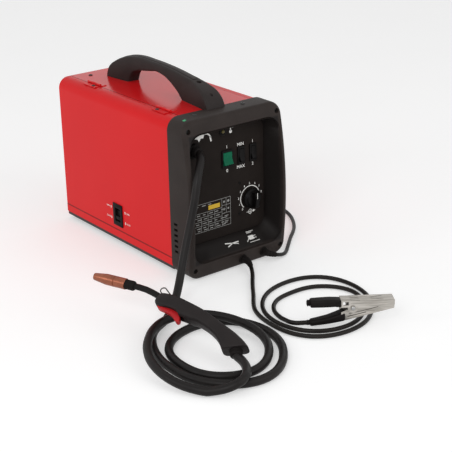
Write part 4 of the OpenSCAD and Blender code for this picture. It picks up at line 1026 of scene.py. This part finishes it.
def grip_shell(name, side):
    rings = []
    for pair, shrink in grip_sections:
        top, low = Vector(pair[:2]), Vector(pair[2:])
        middle, tall = (top + low) / 2, (top - low) / 2 * shrink
        wide = level(grip_wide, middle.x) * shrink
        ring = []
        for k in range(17):
            a = math.pi / 2 - math.pi * k / 16
            c, s = math.cos(a), math.sin(a)
            spot = middle + tall * (abs(s) ** 0.5 * (1 if s > 0 else -1))
            ring.append(Vector((side * max(wide * abs(c) ** 0.5, 0.22), spot.x, spot.y)) / 1000)
        rings.append(ring)
    made = lofted(name, rings, torch_place)
    arch = slab("finger_arch", finger_arch, -0.02, 0.02)
    for vertex in arch.data.vertices:
        vertex.co = torch_place @ vertex.co
    cut(made, arch)
    cut(made, box_at("trigger_slot", (-0.0064, 0.1182, -0.04), (0.0064, 0.1788, 0.003), torch_place))
    cut(made, turned("neck_bore", [(0.00555, 0.150), (0.00555, 0.20)],
                     torch_place @ facing((0, 0, 0.006), (0, 1, 0)), 28))
    pick(made)
    bpy.ops.object.shade_smooth_by_angle(angle=math.radians(42))
    return made


left_shell = settle(grip_shell("torch_shell_left", -1), "torch_handle_left", torch_grip)
right_shell = settle(grip_shell("torch_shell_right", 1), "torch_handle_right", torch_grip)
boot_profile = [(0.0074, -0.002), (0.0112, -0.002), (0.0112, 0.0032), (0.0103, 0.0040), (0.0103, 0.0052),
                (0.0106, 0.0058), (0.0098, 0.0096), (0.0090, 0.0106), (0.0074, 0.0108)]
boot = turned("torch_boot", boot_profile, facing(torch_end, -torch_way), 32)
settle(boot, "torch_handle_left", gland_rubber, False)
trigger_red = Finish("trigger_red", Specular_IOR_Level=0.25)
rub = trigger_red.noise(120, 3)
trigger_red.set(Base_Color=trigger_red.mix(rub, (0.40, 0.008, 0.012), (0.50, 0.012, 0.016)),
                Roughness=0.34 + 0.15 * rub, Normal=trigger_red.bump(trigger_red.noise(900), 0.0003, 0.2))
blade_half = 0.0056
blade_outline = vectors([(177, -6), (176.5, -10), (174, -13.4), (170, -14.6), (162, -13.8), (155, -13), (146, -13),
                         (138.5, -14.6), (132, -17.4), (127.5, -19.6), (124.8, -20), (122.4, -19), (121.4, -16.6),
                         (122.4, -13.6), (124.8, -10.2), (128, -7.2), (132, -4.6), (168, -3.2), (176, -3.2)])
blade = slab("trigger_blade", blade_outline, -blade_half, blade_half)
round_edges(blade, lambda a, b: abs(a.x - b.x) < 1e-6, 0.0014, 3)
axle = turned("trigger_axle", [(0.002, -0.0086), (0.002, 0.0086)], facing((0, 0.172, -0.006), (1, 0, 0)), 20)
blade = joined("trigger_blade", [blade, axle])
for vertex in blade.data.vertices:
    vertex.co = torch_place @ vertex.co
settle(blade, "torch_trigger", trigger_red.material)

# The swan neck and the gas nozzle: a bent tube in a tight black sleeve, a ribbed insulating collar, and a
# turned copper nozzle that is pushed over it and narrows to its mouth round the contact tip. A bent wire hook
# hangs on the neck.
neck_black = moulded("neck_black", (0.0060, 0.0050, 0.0048), (0.010, 0.0085, 0.008), 0.34, 900, 0.0003, 0.10)
dress("torch_neck", neck_black)
neck_start, neck_height, neck_bend, neck_radius = 203, 6, math.radians(15), 110
neck_reach = neck_start + neck_radius * math.sin(neck_bend)
neck_rise = neck_height - neck_radius * (1 - math.cos(neck_bend))
neck_end = torch_place @ Matrix.Translation(Vector((0, neck_reach, neck_rise)) / 1000)
neck_end = neck_end @ Matrix.Rotation(-neck_bend, 4, "X")
nose = neck_end @ facing((0, 0, 0), (0, 1, 0))
collar_profile = [(0.00558, 0.008), (0.0066, 0.008), (0.0078, 0.0092), (0.0085, 0.0106), (0.0087, 0.0112),
                  (0.0087, 0.0140), (0.0083, 0.0144), (0.0083, 0.0156), (0.0087, 0.0160), (0.0087, 0.0196),
                  (0.0083, 0.0200), (0.0083, 0.0212), (0.0087, 0.0216), (0.0087, 0.0256), (0.0074, 0.0260),
                  (0.0074, 0.033), (0.00558, 0.033)]
settle(turned("neck_collar", collar_profile, nose, 40), "nozzle_collar", gland_rubber)
nozzle_copper = Finish("nozzle_copper", Metallic=0.85)
lathe, soot = nozzle_copper.noise(900, 2, at=nozzle_copper.where((0.6, 0.05, 0.6))), nozzle_copper.noise(70, 4)
nozzle_copper.set(Base_Color=nozzle_copper.mix(nozzle_copper.ramp(soot, 0.4, 0.75), (0.31, 0.105, 0.060),
                                               (0.20, 0.068, 0.042)),
                  Roughness=0.20 + 0.14 * soot + 0.06 * lathe, Normal=nozzle_copper.bump(lathe, 0.00005, 0.25))
nozzle_profile = [(0.00748, 0.0260), (0.0094, 0.0260), (0.0098, 0.0264), (0.0098, 0.0464), (0.0088, 0.0470),
                  (0.0088, 0.0484), (0.0098, 0.0490), (0.0098, 0.0650), (0.0096, 0.0668), (0.0066, 0.0878),
                  (0.0062, 0.0897), (0.0056, 0.0900), (0.0052, 0.0896), (0.0052, 0.0740), (0.00748, 0.0680)]
nozzle_shell = turned("nozzle_shell", nozzle_profile + nozzle_profile[:1], nose, 48)
settle(nozzle_shell, "gas_nozzle", nozzle_copper.material)
tip_profile = [(0, 0.034), (0.0032, 0.034), (0.0032, 0.072), (0.0022, 0.0832), (0.0016, 0.0840), (0.0007, 0.0840),
               (0.0007, 0.0800), (0, 0.0800)]
settle(turned("tip_rod", tip_profile, nose, 28), "contact_tip", nozzle_copper.material)


def drawn_wire(name, colour, lighter):
    made = Finish(name, Metallic=1.0)
    drawn = made.noise(400, 3)
    return made.set(Base_Color=made.mix(drawn, colour, lighter), Roughness=0.28 + 0.2 * drawn)


spring_steel = drawn_wire("spring_steel", (0.30, 0.30, 0.30), (0.45, 0.45, 0.44))
dress("torch_hook", drawn_wire("hook_steel", (0.050, 0.047, 0.042), (0.110, 0.105, 0.095)))

# The work clamp's cable: a single rubber-covered copper lead from the lower front of the machine, laid on the
# floor in flat loops and clamped in the lower grip.
earth_rest = 4.1
earth_black = rubber_sheath("earth_cable_rubber", (0.0070, 0.0054, 0.0046), (0.0140, 0.0108, 0.0090), 1400)
earth_route = vectors([(10, -228, 15), (10, -238, 15), (6, -252, 11), (-6, -272, 5), (-24, -294, earth_rest),
                       (-46, -322, earth_rest), (-64, -346, earth_rest), (-82, -368, earth_rest)])
coil_x, coil_y = -3, -447
earth_radii = [112, 111, 126, 112, 99, 106, 121, 105, 96, 99, 106, 97, 84, 89, 78, 66, 74, 82]
clamp_turn = math.radians(-32.7)
clamp_place = Matrix.Translation(Vector((-72, -500, 39.2)) / 1000) @ Matrix.Rotation(clamp_turn, 4, "Z")
clamp_way = Vector((math.cos(clamp_turn), math.sin(clamp_turn), 0))
earth_end = clamp_place.translation + Vector((0, 0, -0.0285))
earth_loops = []
for k, reach in enumerate(eased_run(earth_radii, 3)):
    angle = math.radians(135 + 15 * k)
    earth_loops.append(Vector((coil_x + reach * math.cos(angle), coil_y + reach * math.sin(angle),
                               earth_rest)) / 1000)
earth_line = apart(eased_run(earth_route, 2) + earth_loops + eased_run(
    [earth_loops[-1]] + vectors([(-87, -464, 6), (-90, -478, 9), (-87, -489, 10.5)])
    + [earth_end - 0.009 * clamp_way, earth_end], 3))
earth_cable = cable("earth_cable", earth_line, 0.008, earth_black)
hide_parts("earth_lead", "earth_coil")

# The work clamp: two jaws pressed from zinc plated sheet with long stiffening ribs, on a riveted pin with a
# torsion spring, and two soft black grips pushed over their tails.
jaw_zinc = Finish("jaw_zinc", Metallic=1.0)
along_jaw = jaw_zinc.node("ShaderNodeMapping", {"vector_type": "TEXTURE"}, {
    "Vector": jaw_zinc.where(), "Rotation": (0, 0, clamp_turn), "Scale": (9, 1, 1)})
rolled, bloom = jaw_zinc.noise(260, 3, at=along_jaw), jaw_zinc.noise(150, 4, at=along_jaw)
jaw_zinc.set(Base_Color=jaw_zinc.mix(jaw_zinc.ramp(bloom, 0.35, 0.75), (0.56, 0.53, 0.49),
                                     (0.24, 0.225, 0.200)),
             Roughness=0.32 + 0.2 * bloom, Normal=jaw_zinc.bump(rolled, 0.0002, 0.2))
upper_jaw = softened("clamp_top_jaw", "upper_jaw", 0.0005, jaw_zinc.material, 2)
for side in (-1, 1):
    inner, outer = sorted((side * 0.0015, side * 0.0140))
    cut(upper_jaw, box_at("grip_window", (0.0608, inner, 0.0056), (0.0708, outer, 0.0118), clamp_place))
softened("clamp_bottom_jaw", "lower_jaw", 0.0005, jaw_zinc.material, 2)


def rib(name, start, stop, wide, tall, place):
    """A long raised bead with round ends, laid along a surface."""
    start, stop = Vector(start), Vector(stop)
    run = (stop - start).normalized()
    side, rise, rings = run.cross(Vector((0, 0, 1))), Vector((0, 0, 1)), []
    for k in range(9):
        t = k / 8
        middle = start + (stop - start) * t
        full = math.sqrt(max(1 - (2 * t - 1) ** 8, 0.0)) + 0.02
        turns = [math.pi * j / 6 for j in range(7)]
        rings.append([(middle + side * (wide / 2 * full * math.cos(a)) + rise * (tall * full * math.sin(a))) / 1000
                      for a in turns])
    return lofted(name, rings, place)


def jaw_flank(reach, out):
    """The outer face of a jaw's side wall, this far in millimetres from the middle: x runs along, y up."""
    return clamp_place @ Matrix(((1, 0, 0, 0), (0, 0, out, out * reach / 1000), (0, 1, 0, 0), (0, 0, 0, 1)))


upper_reach, lower_reach, sunk = 12.5, 10.5, -0.1
upper_ribs, lower_ribs = [], []
for out in (-1, 1):
    flank = jaw_flank(upper_reach, out)
    upper_ribs += [rib("jaw_rib", (70, 9.6, sunk), (143, 8.4, sunk), 2.4, 0.9, flank),
                   rib("jaw_rib", (94, 5.0, sunk), (140, 5.2, sunk), 2.0, 0.8, flank)]
    flank = jaw_flank(lower_reach, out)
    lower_ribs += [rib("jaw_rib", (66, -19.3, sunk), (139, -3.6, sunk), 2.4, 0.9, flank),
                   rib("jaw_rib", (92, -9.4, sunk), (128, -2.4, sunk), 2.0, 0.8, flank)]
crest = clamp_place @ Matrix.Translation((0, 0, 0.0124))
upper_ribs += [rib("jaw_rib", (74, y, 0.0), (124, y, -1.0), 2.4, 0.9, crest) for y in (-6.5, 6.5)]
settle(joined("upper_jaw_ribs", upper_ribs), "clamp_top_jaw", jaw_zinc.material, False)
settle(joined("lower_jaw_ribs", lower_ribs), "clamp_bottom_jaw", jaw_zinc.material, False)
# Dark lines laid along the embossed ribs of both jaws: painted shade in the creases of the pressing.
crease_shade_ink = print_ink("jaw_crease_shade", (0.085, 0.078, 0.068))
jaw_crease_shades = []
for out in (-1, 1):
    flank = jaw_flank(lower_reach, out)
    for ends in ((71, -11, 97, -6.4), (97, -6.4, 122, -0.6), (69, -16.2, 101, -9.6)):
        jaw_crease_shades += printed([bar(*ends, 1.0)[::-out]], flank, 0.0003)
settle(joined("lower_jaw_lines", jaw_crease_shades), "clamp_bottom_jaw", crease_shade_ink, False)
jaw_back = (clamp_place @ Matrix.Translation((0, 0, 0.01262)) @ Matrix.Rotation(0.02, 4, "Y")
            @ Matrix.Translation((0, 0, 0.0014)))
jaw_crease_shades = []
for side in (-1, 1):
    jaw_crease_shades += printed([bar(110, side * 2.2, 131, side * 7.6, 1.2), bar(74, side * 2.6, 90, side * 2.6, 0.9),
                          bar(74, side * 10.2, 90, side * 10.2, 0.9)], jaw_back)
settle(joined("upper_jaw_lines", jaw_crease_shades), "clamp_top_jaw", crease_shade_ink, False)
head_profile = [(0.0036, 0), (0.0035, 0.0006), (0.0028, 0.0011), (0.0014, 0.0014), (0, 0.0015)]
pin_x, pin_reach = 0.078, 0.0141
for name, out in (("pin_head_near", -1), ("pin_head_far", 1)):
    head = turned(name, head_profile, clamp_place @ facing((pin_x, pin_reach * out, 0), (0, out, 0)), 28)
    settle(head, "clamp_bottom_jaw", spring_steel, False)
grip_black = moulded("clamp_grip_black", (0.0058, 0.0046, 0.0044), (0.0100, 0.0082, 0.0076), 0.46, 800,
                     0.0005, 0.10)


def grip_ring(x, low, high, wide):
    """A rounded rectangle across the clamp's tail, in millimetres."""
    ring, soft = [], 4.2
    for cy, cz, start in ((wide - soft, high - soft, 0), (soft - wide, high - soft, 90),
                          (soft - wide, low + soft, 180), (wide - soft, low + soft, 270)):
        for k in range(6):
            a = math.radians(start + 18 * k)
            ring.append(Vector((x, cy + soft * math.cos(a), cz + soft * math.sin(a))) / 1000)
    return ring


def grip_cap(radius, z):
    return turned("grip_cap", [(radius - 0.0009, 0), (radius, 0.0009), (radius, 0.008)],
                  clamp_place @ facing((0, 0, z), (1, 0, 0)), 28)


upper_shape = [(6, 2.8, 13.7, 7.6), (6.4, 2.2, 14.3, 8.8), (8, 1.8, 14.7, 9.6), (24, 1.3, 15, 10), (40, 1, 15, 10),
               (56, 1.3, 13.6, 10.2), (57.6, 1.8, 13.0, 9.8), (58, 2.4, 12.4, 9.0)]
lower_shape = [(6, -33.0, -24.0, 6.4), (6.4, -33.4, -23.6, 7.2), (8, -33.5, -23.2, 7.9), (22, -32.2, -20.8, 8.8),
               (36, -30.6, -18.0, 9.4), (50, -28.0, -13.8, 10.8), (58, -26.3, -11.0, 11.6),
               (63.4, -25.0, -9.0, 11.9), (64.6, -24.2, -9.4, 11.4), (65, -23.4, -10, 10.6)]
upper_tail, lower_tail = 0.0085, -0.0285
upper_grip = lofted("upper_grip", [grip_ring(*p) for p in upper_shape], clamp_place)
tongue = box_at("grip_tongue", (0.050, -0.0106, 0.0022), (0.0604, 0.0106, 0.0108), clamp_place)
upper_grip = joined("upper_grip", [upper_grip, grip_cap(0.0047, upper_tail), tongue])
settle(upper_grip, "clamp_top_grip", grip_black)
lower_grip = lofted("lower_grip", [grip_ring(*p) for p in lower_shape], clamp_place)
settle(joined("lower_grip", [lower_grip, grip_cap(0.0046, lower_tail)]), "clamp_bottom_grip", grip_black)
band_profile = [(0.0044, -0.0009), (0.0055, -0.0009), (0.0059, -0.0003), (0.0059, 0.0003), (0.0055, 0.0009),
                (0.0044, 0.0009)]
grip_bands = [turned("grip_band", band_profile, clamp_place @ facing((x, 0, upper_tail), (1, 0, 0)), 28)
              for x in (0.0016, 0.0044)]
settle(joined("upper_grip_bands", grip_bands), "clamp_top_grip", grip_black, False)
dress("clamp_spring", spring_steel)

# The mains lead: a round flexible lead from the lower right of the front, round the right side of the case
# to a tied coil with the plug beside it.
mains_rest, plug_spot = 3.9, (245, 200, 17.6)
mains_black = rubber_sheath("mains_lead_rubber", (0.0070, 0.0056, 0.0052), (0.0135, 0.0110, 0.0098), 1500)
mains_route = vectors([(61, -228, 17), (61, -236, 17), (70, -242, 14), (88, -242, 8), (108, -234, 4.2),
                       (135, -210, mains_rest), (170, -178, mains_rest), (206, -147, mains_rest),
                       (240, -100, mains_rest), (257, -53, mains_rest), (262, 0, mains_rest), (258, 60, mains_rest),
                       (249, 110, 4.6), (245, 140, 5.4)])
coil_x, coil_y, coil_low, coil_reach, turn_gap, half_turns = 190, 140, 5.4, 55, 8.4, 2.5
mains_loops = []
for k in range(121):
    turns = k / 24
    reach = coil_reach - turn_gap * (min(turns, half_turns) - max(turns - half_turns, 0))
    climb = min(max((k - 54) / 12, 0), 1)
    angle = math.radians(15 * k)
    mains_loops.append(Vector((coil_x + reach * math.cos(angle), coil_y + reach * math.sin(angle),
                               coil_low + turn_gap * climb)) / 1000)
mains_line = apart(eased_run(mains_route, 2) + mains_loops + eased_run(
    [mains_loops[-1]] + vectors([(245, 160, 14.4), (245, 178, 17), (245, 191, 17.6), plug_spot]), 2))
mains_cable = cable("mains_cable", mains_line, 0.0075, mains_black)
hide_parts("mains_lead", "mains_coil")
tie_black = moulded("tie_black", (0.012, 0.011, 0.011), (0.020, 0.018, 0.018), 0.4, 900, 0.0003, 0.35)
softened("mains_tie", "coil_tie", 0.0005, tie_black, 2)
plug_place = facing(Vector(plug_spot) / 1000, (0, 1, 0))
plug_profile = [(0.0036, -0.003), (0.0052, -0.003), (0.0056, 0.002), (0.0050, 0.0026), (0.0052, 0.0052),
                (0.0062, 0.0058), (0.0066, 0.0098), (0.0062, 0.0104), (0.0066, 0.0128), (0.0080, 0.0140),
                (0.0105, 0.0165), (0.0150, 0.0192), (0.0170, 0.0212), (0.0175, 0.0240), (0.0175, 0.0345),
                (0.0168, 0.0358), (0.0160, 0.0360), (0, 0.0360)]
plug_body = turned("plug_body", plug_profile, plug_place, 48)
for side in (-1, 1):
    flat = side * 0.0215
    cut(plug_body, box_at("thumb_flat", (-0.03, flat - 0.006, 0.0225), (0.03, flat + 0.006, 0.05), plug_place))
settle(plug_body, "mains_plug", switch_black)
pin_profile, pin_reach = [(0.0024, 0.035), (0.0024, 0.0535), (0.0018, 0.0550), (0, 0.0550)], 0.0095
pins = [turned("plug_pin", pin_profile, plug_place @ Matrix.Translation((side * pin_reach, 0, 0)), 20)
        for side in (-1, 1)]
settle(joined("plug_pins", pins), "mains_plug", spring_steel, False)

# The strain reliefs of the two thin leads: ribbed rubber boots moulded on the glands. They taper along the lead
# and bend with it, so that it doesn't break where it leaves the front.


def along_line(line, reach):
    """The point that lies this far along a run of points."""
    for p, q in zip(line, line[1:]):
        if reach <= (q - p).length:
            return p + (q - p) * (reach / (q - p).length)
        reach -= (q - p).length


def strain_boot(name, line, length, base, tip):
    rings, rib_depth = [], 0.0007
    for k in range(25):
        reach = length * k / 24
        along = (along_line(line, reach + 0.004) - along_line(line, max(reach - 0.004, 0))).normalized()
        side = along.cross(Vector((0, 0, 1))).normalized()
        rise = side.cross(along)
        wide = base + (tip - base) * k / 24 - (rib_depth if k % 4 == 3 else 0)
        turns = [math.radians(15 * j) for j in range(24)]
        rings.append([along_line(line, reach) + wide * (math.cos(a) * side + math.sin(a) * rise) for a in turns])
    return lofted(name, rings)


boots = [strain_boot("mains_boot", mains_line, 0.026, 0.0072, 0.0047),
         strain_boot("earth_boot", earth_line, 0.024, 0.0074, 0.0050)]
settle(joined("cord_boots", boots), "cord_glands", gland_rubber, False)

# The three free leads end in the torch, the work clamp and the plug. Last, the length of each lead is summed and
# the pieces of the torch are gathered in a list; neither result is kept.
run_length(torch_line)
([left_shell, right_shell, boot] + [
            bpy.data.objects[n] for n in ("trigger_blade", "neck_collar", "nozzle_shell", "tip_rod")] + [
            nodes["torch_neck"], nodes["torch_hook"]])
run_length(earth_line)
run_length(mains_line)
